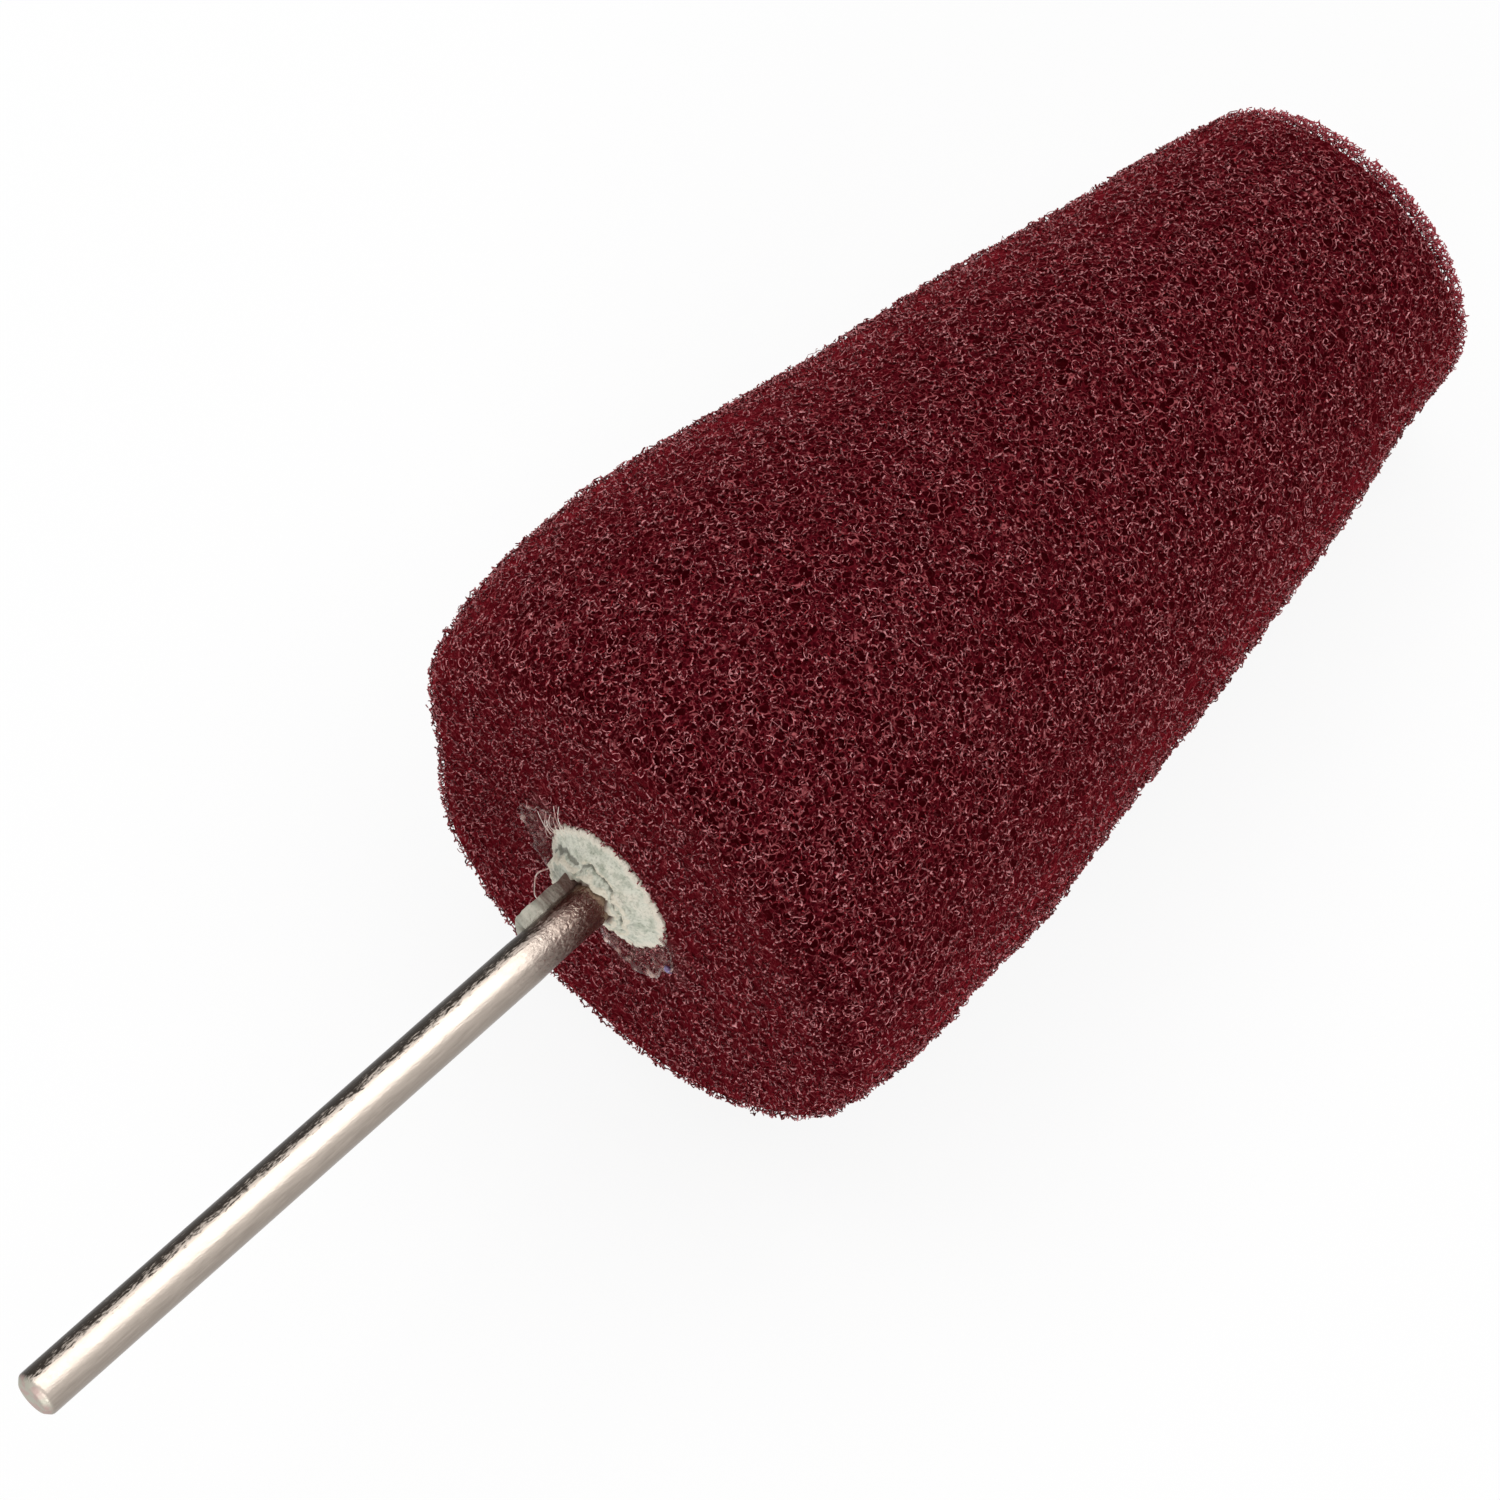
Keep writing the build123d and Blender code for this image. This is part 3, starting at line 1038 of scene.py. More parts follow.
def buildHub(material):
    around, rings = hub["around"], hub["rings"]
    turn = turns(around)
    rim = rimRadius(turn)
    share = np.linspace(0, 1, rings)[:, None]
    radius = hub["innerRadius"] + (rim - hub["innerRadius"]) * share
    x, y = polar(radius, turn)
    height = hubHeight(x.ravel(), y.ravel()).reshape(x.shape)
    hollow = hubHollow(x.ravel(), y.ravel(), height.ravel())
    height -= hub["rimFall"] * smooth((share - 0.93) / 0.07)
    # Under the rim the shell turns in and is closed inside the foam
    below = [
        (rim - 0.12, 0.5),
        (np.full(around, hub["closedRadius"]), hub["closedAt"]),
        (np.full(around, hub["innerRadius"]), hub["closedAt"]),
    ]
    radius = np.vstack([radius, *[r for r, _ in below]])
    s = np.vstack([-height, *[np.full(around, depth) for _, depth in below]])
    x, y = polar(radius, turn)
    points = np.column_stack([s.ravel(), x.ravel(), y.ravel()])
    faces = outward(points, [ringQuads(len(s), around, joined=True)])
    piece = meshObject("hub_resin", fromCone(points), faces, material)
    setAttribute(piece, "hollow", np.concatenate([hollow, np.zeros(len(points) - len(hollow))]))
    setAttribute(piece, "edge", smooth(((radius / rim).ravel() - hub["edgeFrom"]) / hub["edgeOver"]))
    # painted contact shadow round the steel
    setAttribute(piece, "stain", smooth((hub["stainRadius"] - radius.ravel()) / 0.6) * 0.9)
    return piece


# The sleeve: what is left of the tube that the resin was poured into, along one side of the root

sleeve = {
    "bearing": 206.0,
    "sweep": 80.0,
    "innerRadius": 2.8,  # mm
    "wall": 1.95,
    "edgeWall": 0.1,  # share of the wall that is left at its sides
    "length": 11.25,
    "buried": 0.6,
    "worn": 0.25,  # mm by which its end is rounded off
    "wornOver": 0.35,
    "ragged": 0.12,  # mm
    "stainFrom": 9.6,  # mm from the base, where it starts to get browner towards the base
    "stainOver": 6.5,
    "shade": 0.15,  # how much darker than the hub it is, and by how much that varies
    "shadeSpread": 0.08,
    "paleness": 0.35,
    "across": 36,
    "steps": 60,
}


def buildSleeve(material):
    across, steps, inside = sleeve["across"], sleeve["steps"], sleeve["innerRadius"]
    share = np.linspace(0, 1, across)
    bearing = np.radians(sleeve["bearing"] + sleeve["sweep"] * (share - 0.5))
    corner = (1 - np.abs(2 * share - 1) ** 24) ** 0.25  # 1 across the wall, and 0 at its two rounded sides
    s = np.linspace(sleeve["buried"], -sleeve["length"], steps)[:, None]
    way = np.stack(polar(1, bearing), axis=-1)
    flat = np.column_stack([np.repeat(s, across), np.tile(bearing * inside, steps)])
    rough = 0.03 * ripple(flat, 1.1, seed=61) + 0.08 * ripple(flat, 3.5, seed=62)
    wall = sleeve["wall"] * (sleeve["edgeWall"] + (1 - sleeve["edgeWall"]) * corner)
    wall = wall + rough.reshape(steps, across)
    worn = sleeve["worn"] * smooth((-s - sleeve["length"] + sleeve["wornOver"]) / sleeve["wornOver"])
    outer = inside + wall - worn
    radius = np.concatenate([outer, np.full((steps, across), inside)], axis=1)
    ways = np.concatenate([way, way[::-1]])
    ragged = np.zeros((steps, 2 * across))
    ragged[-1] = sleeve["ragged"] * ripple(ways * 4, 1.4, seed=63)
    points = np.concatenate([(s + ragged)[..., None], radius[..., None] * ways], axis=-1).reshape(-1, 3)
    # The quads that close its two ends
    a = np.arange(across - 1)
    first = np.column_stack([a, a + 1, 2 * across - 2 - a, 2 * across - 1 - a])
    last = first + (steps - 1) * 2 * across
    faces = outward(points, [ringQuads(steps, 2 * across), first, last[:, ::-1]])
    piece = meshObject("hub_sleeve", fromCone(points), faces, material)
    spotty = 1.0 * ripple(points, 1.3, seed=64) + 0.8 * ripple(points, 0.5, seed=65)
    setAttribute(piece, "stain", smooth((points[:, 0] + sleeve["stainFrom"] + spotty) / sleeve["stainOver"]))
    setAttribute(piece, "hollow", sleeve["shade"] + sleeve["shadeSpread"] * ripple(points, 1.6, seed=66))
    setAttribute(piece, "edge", np.full(len(points), sleeve["paleness"]))
    return piece


# Glue: two films over the soaked foam, a string drawn out while it was wet, strands and a drop

glueFilms = [
    # bearings in degrees, inner and outer radius in mm, mm that its edge wanders and that its lip stands up
    {"name": "glue_web", "bearings": (-92, 4), "radii": (9.0, 13.3), "wander": 0.7, "lip": 0.34},
    {"name": "glue_smear", "bearings": (150, 226), "radii": (10.0, 13.6), "wander": 1.1, "lip": 0.1},
]
film = {
    "lengthwise": 90,  # points along it
    "across": 18,
    "height": 0.16,  # mm over the base
    "thickness": 0.09,
    "lipThickness": 0.1,  # mm more
    "lipFrom": 0.86,  # share of its width
    "lipOver": 0.1,
    "paleFrom": 0.84,  # the same for the pale line along the lip
    "paleOver": 0.08,
    "edgeLength": 12.0,  # mm, about what its outer edge measures
    "wanderLength": 3.4,  # mm from one bay in that edge to the next
}


def buildFilm(given, material):
    shares = np.linspace(0, 1, film["lengthwise"]), np.linspace(0, 1, film["across"])
    u, v = np.meshgrid(*shares, indexing="ij")
    low, high = given["bearings"]
    bearing = np.radians(low + (high - low) * u)
    arc = np.column_stack([u.ravel() * film["edgeLength"], np.zeros(u.size)])
    inner, outer = given["radii"]
    bulge = np.sin(math.pi * u) ** 0.5
    wander = given["wander"] * ripple(arc, film["wanderLength"], seed=71).reshape(u.shape)
    reach = inner + (outer - inner) * bulge + wander * bulge
    x, y = polar(inner + (reach - inner) * v, bearing)
    flat = np.column_stack([x.ravel(), y.ravel()])
    lip = smooth((v - film["lipFrom"]) / film["lipOver"])
    height = film["height"] + 0.1 * ripple(flat, 1.3, seed=72).reshape(u.shape)
    height += 0.05 * ripple(flat, 0.6, seed=73).reshape(u.shape)
    height += given["lip"] * lip
    thick = film["thickness"] + film["lipThickness"] * lip
    top = np.column_stack([-height.ravel(), flat])
    bottom = np.column_stack([(thick - height).ravel(), flat])
    number = np.arange(u.size).reshape(u.shape)
    grid = [number[:-1, :-1], number[1:, :-1], number[1:, 1:], number[:-1, 1:]]
    grid = np.stack(grid, axis=-1).reshape(-1, 4)
    border = np.concatenate([number[:-1, 0], number[-1, :-1], number[:0:-1, -1], number[0, :0:-1]])
    after = np.roll(border, -1)
    wall = np.column_stack([after, border, border + u.size, after + u.size])
    points = np.vstack([top, bottom])
    faces = outward(points, [grid, (grid + u.size)[:, ::-1], wall])
    piece = meshObject(given["name"], fromCone(points), faces, material)
    line = smooth((v.ravel() - film["paleFrom"]) / film["paleOver"])
    line = line * np.clip(0.75 + 0.7 * ripple(flat, 2.0, seed=74), 0, 1)
    setAttribute(piece, "edge", np.tile(line, 2))
    return piece


def tubePoints(route, radius, around=7):  # a closed round thread along points in mm, with its faces
    route = np.asarray(route, float)
    way = np.gradient(route, axis=0)
    way /= np.linalg.norm(way, axis=1, keepdims=True)
    side = np.cross(way, [0.3, 0.5, 0.8])
    side /= np.linalg.norm(side, axis=1, keepdims=True)
    other = np.cross(way, side)
    turn = turns(around)
    radius = np.broadcast_to(radius, len(route))[:, None, None]
    loop = side[:, None] * np.cos(turn)[None, :, None] + other[:, None] * np.sin(turn)[None, :, None]
    points = (route[:, None] + radius * loop).reshape(-1, 3)
    points = np.vstack([points, route[:1], route[-1:]])
    return points, outward(points, [ringQuads(len(route), around), endFans(len(route), around)])


def smoothRoute(corners, count):  # a smooth line through a few given points
    corners = np.asarray(corners, float)
    ahead = np.vstack([2 * corners[0] - corners[1], corners, 2 * corners[-1] - corners[-2]])
    at = np.linspace(0, len(corners) - 1, count)
    i = np.minimum(at.astype(int), len(corners) - 2)
    f = (at - i)[:, None]
    p0, p1, p2, p3 = (ahead[i + k] for k in range(4))
    square, cube = 2 * p0 - 5 * p1 + 4 * p2 - p3, 3 * p1 - p0 - 3 * p2 + p3
    return 0.5 * (2 * p1 + (p2 - p0) * f + square * f**2 + cube * f**3)


string = {
    # mm along the axis, sideways and upwards
    "route": [
        (-1.9, -7.4, -3.0),
        (-3.4, -8.1, -3.6),
        (-5.0, -7.0, -3.3),
        (-6.4, -5.7, -1.6),
        (-7.2, -4.5, 0.1),
    ],
    "radius": 0.085,  # mm
    "unevenness": 0.25,  # share of the radius
    "steps": 36,
}


def buildString(material):
    route = smoothRoute(string["route"], string["steps"])
    radius = string["radius"] * (1 + string["unevenness"] * ripple(route, 2.5, seed=81))
    points, faces = tubePoints(route, radius)
    return meshObject("glue_string", fromCone(points), faces, material)


# Strands of glue that bridge the gap beside the rim, side by side from the soaked foam to the resin
strands = {
    "count": 10,
    "bearings": (155, 178),  # degrees, the first and the last strand
    "radii": (9.2, 11.7),  # mm, where they end on the resin and in the foam
    "slant": -13.0,  # degrees by which the outer end lies behind the inner one
    "height": 0.12,  # mm over the base
    "arch": 0.5,  # mm that they stand up in the middle
    "radius": 0.044,
    "stray": 4.2,  # degrees
    "bend": 1.5,  # degrees
    "steps": 9,
    "seed": 91,
}


def buildStrands(material):
    rng = np.random.default_rng(strands["seed"])
    share = np.linspace(0, 1, strands["steps"])
    bow = np.sin(math.pi * share)
    points, quads, caps, used = [], [], [], 0
    for start in np.linspace(*strands["bearings"], strands["count"]):
        inner, outer = np.array(strands["radii"]) + rng.uniform(-0.5, 0.5, 2) * (0.6, 2.4)
        swing = strands["slant"] * share + rng.normal(0, strands["stray"])
        swing = swing + rng.normal(0, strands["bend"]) * bow
        height = strands["height"] + strands["arch"] * rng.uniform(0.2, 1) * bow
        x, y = polar(inner + (outer - inner) * share, np.radians(start + swing))
        route = np.column_stack([-height, x, y])
        tube, (sides, ends) = tubePoints(route, strands["radius"] * rng.uniform(0.6, 1.3), 5)
        points.append(tube)
        quads.append(sides + used)
        caps.append(ends + used)
        used += len(tube)
    faces = [np.concatenate(quads), np.concatenate(caps)]
    return meshObject("glue_strands", fromCone(np.concatenate(points)), faces, material)


# A small clear drop of glue that stands on the foam beside the web
drop = {
    "bearing": -24.5,  # degrees
    "radius": 12.3,  # mm from the tool's axis
    "height": 0.25,  # mm of its middle over the base
    "halves": (0.38, 0.6, 0.48),  # mm along the axis, sideways and upwards
    "unevenness": 0.08,
    "rings": 12,
    "around": 20,
}


def buildDrop(material):
    rings, around = drop["rings"], drop["around"]
    tilt = np.linspace(0.04, math.pi - 0.04, rings)[:, None]
    x, y = polar(np.sin(tilt), turns(around))
    ball = np.column_stack([np.broadcast_to(np.cos(tilt), x.shape).ravel(), x.ravel(), y.ravel()])
    middle = np.array([-drop["height"], *polar(drop["radius"], math.radians(drop["bearing"]))])
    points = middle + ball * drop["halves"] * (1 + drop["unevenness"] * ripple(ball, 1.6, seed=92))[:, None]
    faces = outward(points, [ringQuads(rings, around), endDiscs(rings, around)])
    return meshObject("glue_drop", fromCone(points), faces, material)


# Materials

foamLooks = {
    "wine": colour(73, 10, 18),
    "rose": colour(218, 146, 150),
    "shade": colour(66, 10, 18),
    "lit": colour(196, 70, 86),
    "deep": colour(36, 0, 3),
    "ground": colour(49, 3, 9),
    "middle": colour(96, 21, 30),
    "rim": colour(200, 112, 116),
    "glueDark": colour(84, 52, 54),
    "gluePale": colour(196, 164, 158),
}
foamCoat = {"Coat Roughness": 0.16, "Specular IOR Level": 0.1}
foamSheen = {"Sheen Weight": 0.7, "Sheen Roughness": 0.45, "Sheen Tint": colour(206, 48, 62)}
coreLooks = {
    "bend": 0.0011,  # m by which the painted cells stray from round
    # waves to a metre, width of the hole and paleness of the rim of each size of cell
    "cells": ((1750.0, 0.4, 0.3), (1000.0, 0.36, 0.35), (640.0, 0.3, 0.5)),
    "baseShade": 0.38,
    "sheen": 0.47,
}


def strutMaterial():
    material, tree = newMaterial("foamStruts")
    tone = tree.attribute("tone")
    # strokes: paler struts and painted highlights, where the coat also gives real gloss
    strokes = tree.noise(tree.objectPlace(), 2600.0, 1.0).between(0.47, 0.6)
    mix = tree.mixColour(strokes * (tone * 0.7 + 0.3), foamLooks["wine"], foamLooks["rose"])
    # painted shade: struts deeper under the surface are painted darker
    mix = tree.mixColour((0 - tree.attribute("depth")) * 0.75, mix, foamLooks["shade"])
    # painted light: the tip's thin rim painted paler, as if lit through from behind
    mix = tree.mixColour(tree.attribute("thin") * 0.75, mix, foamLooks["lit"])
    gluey = tree.mixColour(strokes, foamLooks["glueDark"], foamLooks["gluePale"])
    mix = tree.mixColour(tree.attribute("soak") * 0.8, mix, gluey)
    gloss = {"Roughness": 0.55, "Coat Weight": strokes * 0.3}
    finishMaterial(tree, {"Base Color": mix, **gloss, **foamCoat, **foamSheen})
    return material


def curlMaterial():
    material, tree = newMaterial("foamCurls")
    # pale patches: paler curls and painted highlights
    pale = tree.noise(tree.objectPlace(), 2200.0, 1.0).between(0.42, 0.6)
    mix = tree.mixColour(pale, foamLooks["middle"], foamLooks["rose"])
    gloss = {"Roughness": 0.5, "Coat Weight": 0.22}
    finishMaterial(tree, {"Base Color": mix, **gloss, **foamCoat, **foamSheen})
    return material


def coreMaterial():
    material, tree = newMaterial("foamDepths")
    at = tree.objectPlace()
    sway = tree.noise(at, 900.0, 1.0, output="Color")
    offset = tree.vectorMaths("SCALE", {0: sway, "Scale": coreLooks["bend"]})
    bent = tree.vectorMaths("ADD", {0: at, 1: offset})
    fine = tree.noise(at, 2300.0, 2.0, 0.6).between(0.4, 0.68)
    mix = tree.mixColour(fine * 0.7, foamLooks["ground"], foamLooks["middle"])
    grain = None
    for scale, hole, paleness in coreLooks["cells"]:
        cell = tree.add("ShaderNodeTexVoronoi", {"feature": "F1"}, {"Vector": bent, "Scale": scale})
        edge = cell - tree.noise(at, scale * 0.8, 0.0) * 0.9 + 0.45
        strokes = tree.noise(at, scale * 1.3, 1.0).between(0.46, 0.6)
        rim = edge.between(hole, hole + 0.05) * (1 - edge.between(hole + 0.06, hole + 0.14))
        drawn = rim * strokes
        grain = grain.maths("MAXIMUM", drawn) if grain else drawn
        # painted shade in the holes of the painted cells, and painted highlights on their rims
        mix = tree.mixColour((1 - edge.between(hole - 0.08, hole + 0.04)) * 0.85, mix, foamLooks["deep"])
        mix = tree.mixColour(rim * 0.6, mix, foamLooks["middle"])
        mix = tree.mixColour(drawn * paleness, mix, foamLooks["rim"])
    # painted shade towards the base
    mix = tree.mixColour(tree.attribute("base") * coreLooks["baseShade"], mix, foamLooks["deep"])
    gluey = tree.mixColour(grain, foamLooks["glueDark"], foamLooks["gluePale"])
    mix = tree.mixColour(tree.attribute("soak") * 0.7, mix, gluey)
    gloss = {"Roughness": 0.6, "Specular IOR Level": 0.0}
    finishMaterial(tree, {"Base Color": mix, **gloss, **foamSheen, "Sheen Weight": coreLooks["sheen"]})
    return material


steelLooks = {
    "nickel": colour(186, 174, 163),
    # the dark colour of the painted reflections on the steel
    "tarnish": colour(44, 38, 33),
    "bandBearing": 146,  # degrees, the middle of the dark band, a painted reflection of dark surroundings
    "bandEdge": (0.73, 0.91),  # where it starts and is full, as the cosine of the bearing from its middle
    "dullBearing": 345.5,  # degrees, the middle of the side that is painted darker, a painted dim reflection
    "dullEdge": (0.2, 0.9),
    "rootBrown": colour(150, 112, 94),
    "browned": (-14.0, -3.0),  # mm along the axis, over which it gets browner towards the hub, a painted reflection of the red foam
    "speckled": (-21.0, -5.0),  # mm along the axis, over which the surface gets rougher towards the hub
    "cutEnd": colour(172, 170, 158),
    "cutEndBlush": colour(176, 154, 148),
    "cutEndFrom": (-92.2, -92.9),  # mm along the axis, over which the grip passes into its cut end
    # how much longer than wide, waves to a metre, detail and roughness
    "patterns": {
        "streaks": (9.0, 2600.0, 3.0, 0.6),
        "fine": (2.2, 2400.0, 2.0, 0.6),
        "flecks": (3.5, 4200.0, 2.0, 0.6),
        "crinkle": (1.6, 2600.0, 2.0, 0.55),
        "rough": (3.0, 900.0, 2.0, 0.5),
    },
}


def steelMaterial():
    material, tree = newMaterial("nickelSteel")
    at = tree.objectPlace()
    patterns = {}
    for name, (stretch, *grain) in steelLooks["patterns"].items():
        patterns[name] = tree.noise(tree.toolPlace(at, stretch), *grain)
    streaks, flecks = patterns["streaks"], patterns["flecks"]

    # Sides and stations
    centred = tree.vectorMaths("SUBTRACT", {0: at, 1: tuple(hubCentre)})
    facing = {}
    for name in ("band", "dull"):
        bearing = math.radians(steelLooks[name + "Bearing"])
        middle = sideways * math.cos(bearing) + upwards * math.sin(bearing)
        facing[name] = tree.across(centred, middle) / (gripRadius * mm)
    station = tree.across(centred, along) / mm
    browned = station.between(*steelLooks["browned"])
    speckled = station.between(*steelLooks["speckled"])
    start, full = steelLooks["cutEndFrom"]
    cutEnd = (start - station + (flecks - 0.5) * 0.6).between(0.0, start - full)

    # Colours
    # painted reflection: a dark band along one side of the rod
    dark = (facing["band"] + (streaks - 0.5) * 0.32 + (flecks - 0.5) * 0.6).between(*steelLooks["bandEdge"])
    # painted reflection: the side opposite the band is painted darker
    dull = (facing["dull"] + (streaks - 0.5) * 0.8).between(*steelLooks["dullEdge"]) * 0.36
    mix = tree.mixColour(dark * 0.97 + dull, steelLooks["nickel"], steelLooks["tarnish"])
    blush = tree.noise(at, 700.0, 2.0).between(0.42, 0.6)
    cutTone = tree.mixColour(blush, steelLooks["cutEnd"], steelLooks["cutEndBlush"])
    mix = tree.mixColour(cutEnd * 0.85, mix, cutTone)
    # painted reflection of the red foam, browner towards the hub
    mix = tree.mixColour(browned * 0.5, mix, steelLooks["rootBrown"])

    # Wear
    height = streaks * 0.12 + patterns["fine"] * 0.14 + flecks * 0.24
    height = height + patterns["crinkle"] * (speckled * 0.5 + 0.12)
    rough = patterns["rough"] * 0.2 + 0.25 - browned * 0.14 + cutEnd * 0.25
    worn = {"Roughness": rough, "Normal": tree.bump(height, 0.8, 0.00014)}
    finishMaterial(tree, {"Base Color": mix, "Metallic": 1.0, **worn})
    return material


resinLooks = {
    "pale": colour(212, 212, 197),
    "cream": colour(227, 216, 200),
    "green": colour(148, 154, 136),
    "stain": colour(88, 60, 50),
    "hollow": colour(86, 84, 72),
    "ridge": colour(226, 216, 196),
}


def resinMaterial():
    material, tree = newMaterial("castResin")
    at = tree.objectPlace()
    broad = tree.noise(at, 260.0, 3.0).between(0.42, 0.68)
    blots = tree.noise(at, 620.0, 3.0, 0.6).between(0.46, 0.66)
    grain = tree.noise(at, 2600.0, 3.0, 0.6)
    spots = blots * 0.6 + grain.between(0.46, 0.7) * 0.5
    hollow, edge = tree.attribute("hollow"), tree.attribute("edge")
    mix = tree.mixColour(broad * 0.5, resinLooks["pale"], resinLooks["cream"])
    mix = tree.mixColour(spots * (1 - edge), mix, resinLooks["green"])
    mix = tree.mixColour(edge * 0.7, mix, resinLooks["cream"])
    # painted highlight on ridges and painted shade in hollows; on the sleeve, hollow carries its darker
    # mottled tone
    mix = tree.mixColour((0 - hollow).between(0.04, 0.22) * 0.7, mix, resinLooks["ridge"])
    mix = tree.mixColour(hollow.between(0.08, 0.34) * 0.72, mix, resinLooks["hollow"])
    # painted contact shadow round the steel on the hub; on the sleeve, browner towards the base
    mix = tree.mixColour(tree.attribute("stain"), mix, resinLooks["stain"])
    worn = {"Roughness": grain * 0.3 + 0.4, "Normal": tree.bump(grain, 1.0, 0.0003)}
    finishMaterial(tree, {"Base Color": mix, **worn})
    return material


glueLooks = {
    "dark": colour(92, 38, 38),
    "pale": colour(206, 170, 158),
    "stringDark": colour(204, 150, 144),
    "stringPale": colour(244, 234, 226),
    # the drop's colours, dark with a bluish paleness, are a painted reflection
    "dropDark": colour(88, 40, 66),
    "dropPale": colour(126, 116, 164),
}


def glueMaterial():
    material, tree = newMaterial("clearGlue")
    cloud = tree.noise(tree.objectPlace(), 900.0, 3.0, 0.6)
    mix = tree.mixColour(cloud.between(0.42, 0.68), glueLooks["dark"], glueLooks["pale"])
    alpha = cloud.between(0.46, 0.74) * 0.14 + tree.attribute("edge") * 0.55 + 0.02
    gloss = {"Roughness": 0.2, "Coat Weight": 0.6, "Coat Roughness": 0.1}
    bump = tree.bump(cloud, 0.6, 0.00015)
    finishMaterial(tree, {"Base Color": mix, "Alpha": alpha, "Normal": bump, **gloss})
    return material


def driedGlueMaterial(name, dark, pale, rough):
    material, tree = newMaterial(name)
    cloud = tree.noise(tree.objectPlace(), 900.0, 2.0)
    mix = tree.mixColour(cloud.between(0.36, 0.64), glueLooks[dark], glueLooks[pale])
    worn = {"Roughness": cloud * 0.2 + rough, "Normal": tree.bump(cloud, 0.5, 0.0001)}
    finishMaterial(tree, {"Base Color": mix, **worn})
    return material


# The pieces, each riding on the root body

foamPieces = buildFoam(strutMaterial())
foamCore = buildCore(coreMaterial())
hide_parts("foam_cone")
buildCurls(curlMaterial())
rod = buildShank(steelMaterial())
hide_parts("shank")
castResin = resinMaterial()
hubDisc = buildHub(castResin)
hubSleeve = buildSleeve(castResin)
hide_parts("hub")
clearGlue = glueMaterial()
films = [buildFilm(given, clearGlue) for given in glueFilms]
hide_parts("glue_bead")
driedGlue = driedGlueMaterial("driedGlue", "stringDark", "stringPale", 0.25)
clearDrop = driedGlueMaterial("glueDrop", "dropDark", "dropPale", 0.0)
glueThreads = [buildString(driedGlue), buildStrands(driedGlue), buildDrop(clearDrop)]


# The floor, the light and the camera

studio = {
    "floorHalf": 3.0,  # m
    "floorTint": (0.88, 0.88, 0.88, 1.0),
    "floorGlow": 0.88,  # how much of the floor is white by itself where the camera sees it
    "worldLevel": 0.37,
    "aim": (0, 0, 0.04),  # m, where the lamps point
    "white": (1, 1, 1, 1),
}


def lightPath(tree):  # 1 where the camera sees the backdrop, by itself, in a reflection or through glass
    path = tree.tree.nodes.new("ShaderNodeLightPath")
    kinds = ("Camera", "Glossy", "Transmission")
    seen, shiny, clear = (Socket(tree, path.outputs[f"Is {kind} Ray"]) for kind in kinds)
    return seen.maths("MAXIMUM", shiny).maths("MAXIMUM", clear)


def buildFloor():
    half = studio["floorHalf"] / mm
    points = np.array([(-half, -half, 0), (half, -half, 0), (half, half, 0), (-half, half, 0)])
    material, tree = newMaterial("studioFloor")
    paper = tree.add("ShaderNodeBsdfDiffuse", {}, {"Color": studio["floorTint"]})
    glow = tree.add("ShaderNodeEmission", {}, {"Color": studio["white"], "Strength": 1.0})
    seen = lightPath(tree)
    mixed = tree.add("ShaderNodeMixShader", {}, {0: seen * studio["floorGlow"], 1: paper, 2: glow})
    tree.add("ShaderNodeOutputMaterial", {}, {"Surface": mixed})
    floor = meshObject("studio_floor", points, [np.array([[0, 1, 2, 3]])], material, rides=False)


def buildWorld():
    world = bpy.data.worlds.new("studio")
    bpy.context.scene.world = world
    world.use_nodes = True
    world.node_tree.nodes.clear()
    tree = Tree(world.node_tree)
    level = lightPath(tree) * (1 - studio["worldLevel"]) + studio["worldLevel"]
    sky = tree.add("ShaderNodeBackground", {}, {"Color": studio["white"], "Strength": level})
    tree.add("ShaderNodeOutputWorld", {}, {"Surface": sky})


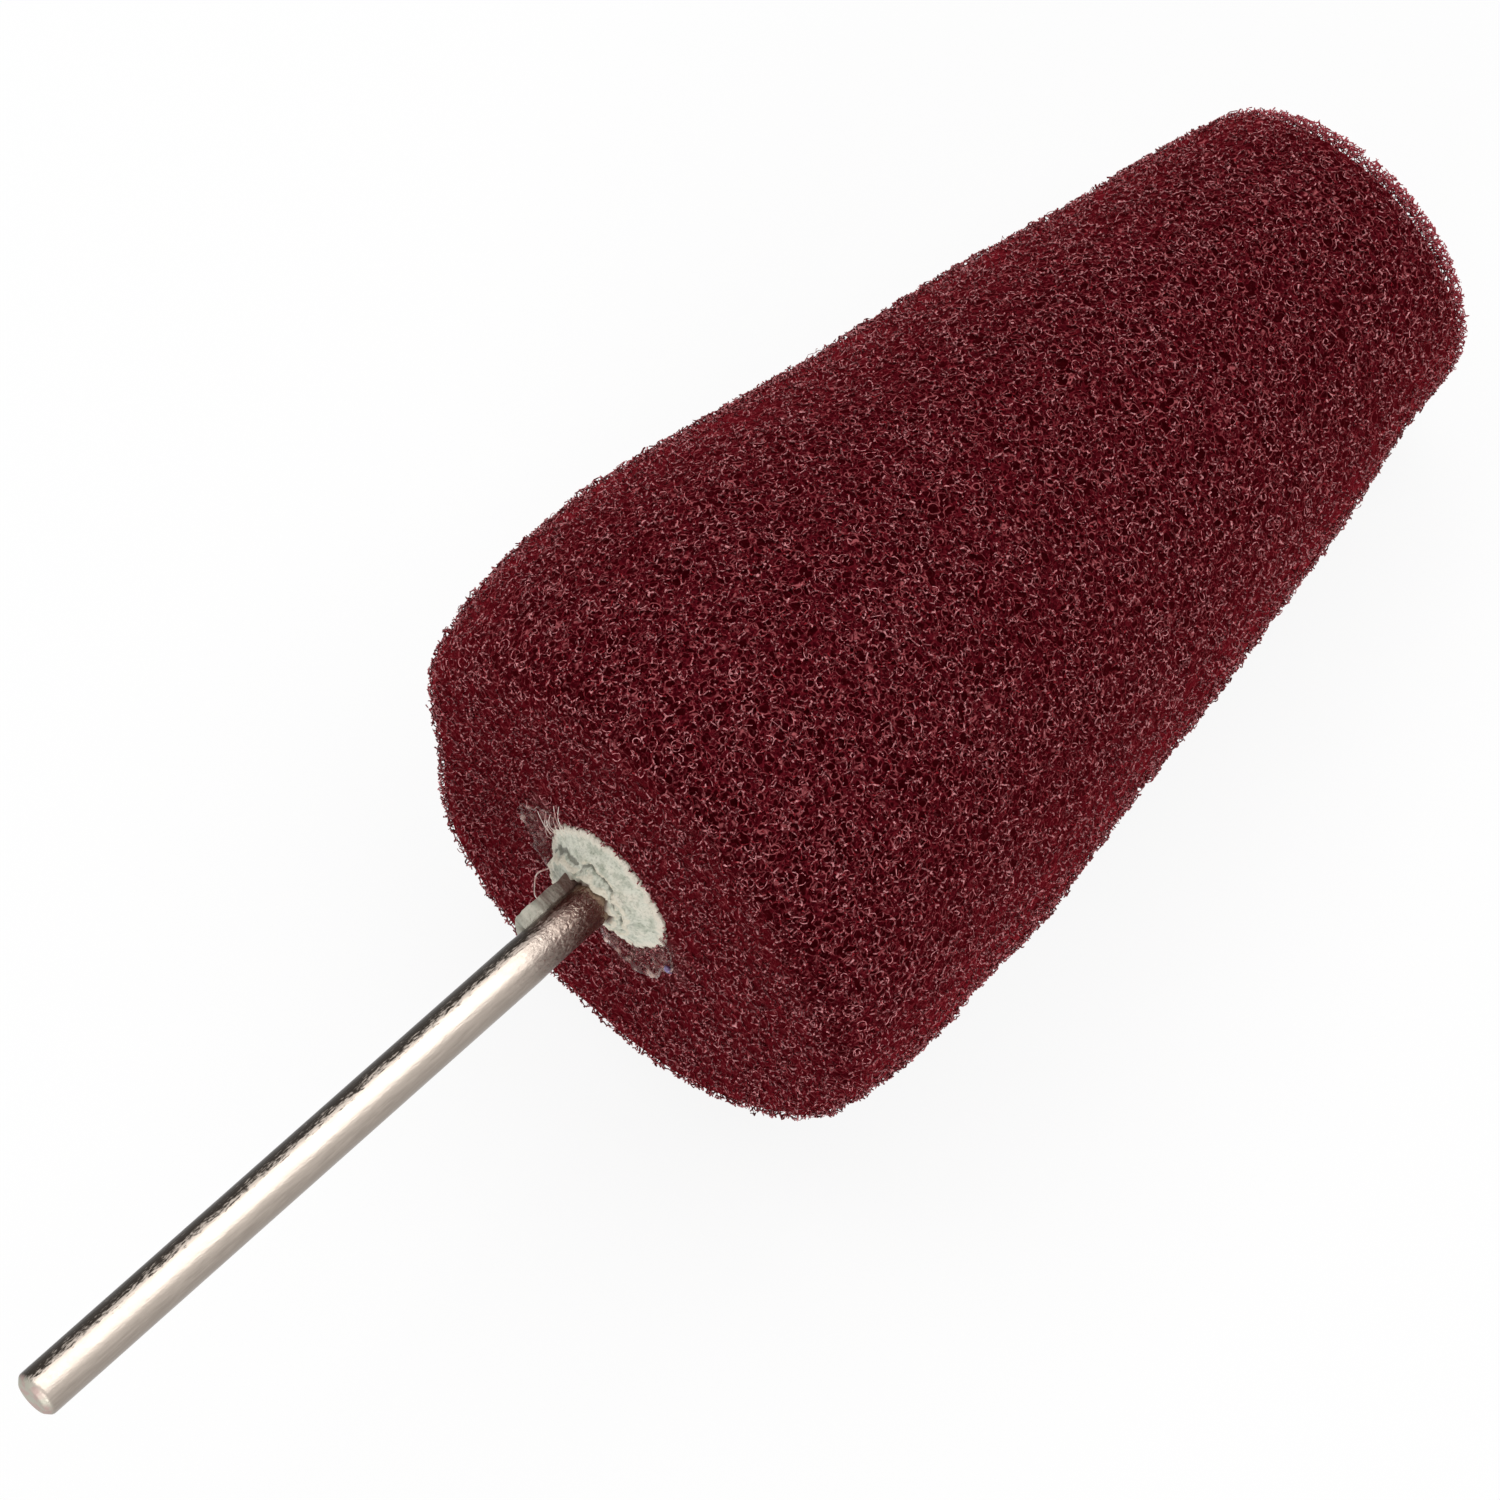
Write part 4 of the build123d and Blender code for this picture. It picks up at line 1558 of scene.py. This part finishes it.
lamps = [
    # name, place in m, width and height in m, the way its width lies, watts
    ("overheadBox", (-0.13, 0.43, 0.95), (0.5, 0.5), (1, 0, 0), 1.8),
    ("longBox", (0.46, 0.07, 0.98), (1.45, 0.6), (0.15, 1, 0), 7.6),
    ("frontBox", (-0.85, -0.45, 0.4), (0.5, 0.5), (0, 1, 0), 5.1),
]


def aimed(spot, right, up, back):  # a lamp's or camera's matrix, from its place and its three directions
    return Matrix.Translation(spot) @ Matrix((right, up, back)).transposed().to_4x4()


def buildLamps():
    for name, spot, (width, height), wide, watts in lamps:
        lamp = bpy.data.lights.new(name, "AREA")
        lamp.energy = watts
        lamp.shape = "RECTANGLE"
        lamp.size, lamp.size_y = width, height
        back = (Vector(spot) - Vector(studio["aim"])).normalized()
        side = (Vector(wide) - back * back.dot(Vector(wide))).normalized()
        newObject(name, lamp).matrix_world = aimed(spot, side, back.cross(side), back)
    print("lamps", len(lamps))


# The camera: the hub's centre lies at hubPixel of the 1500 pixel frame, and hubDepth along the view
view = {
    "framePixels": 1500,
    "focalPixels": 5634,
    "sensor": 36.0,
    "azimuth": -45.65,  # degrees
    "elevation": 70.7,
    "hubPixel": (607.5, 888.5),
    "hubDepth": 674.3,  # mm
    "clip": (0.05, 20.0),  # m
}


def buildCamera():
    azimuth, elevation = math.radians(view["azimuth"]), math.radians(view["elevation"])
    ahead = Vector((-math.sin(azimuth), math.cos(azimuth), 0))
    right = Vector((ahead.y, -ahead.x, 0))
    up = ahead * math.sin(elevation) + Vector((0, 0, math.cos(elevation)))
    back = right.cross(up)
    scale = view["hubDepth"] / view["focalPixels"] * mm
    beside, down = ((pixel - view["framePixels"] / 2) * scale for pixel in view["hubPixel"])
    spot = hubCentre - right * beside + up * down + back * view["hubDepth"] * mm
    camera = bpy.data.cameras.new("photoCamera")
    camera.sensor_width = view["sensor"]
    camera.lens = view["focalPixels"] / view["framePixels"] * view["sensor"]
    camera.clip_start, camera.clip_end = view["clip"]
    holder = newObject("photoCamera", camera)
    holder.matrix_world = aimed(spot, right, up, back)
    bpy.context.scene.camera = holder
    print("camera", tuple(round(c, 3) for c in spot))


buildFloor()
buildWorld()
buildLamps()
buildCamera()
bpy.context.scene.view_settings.view_transform = "Standard"
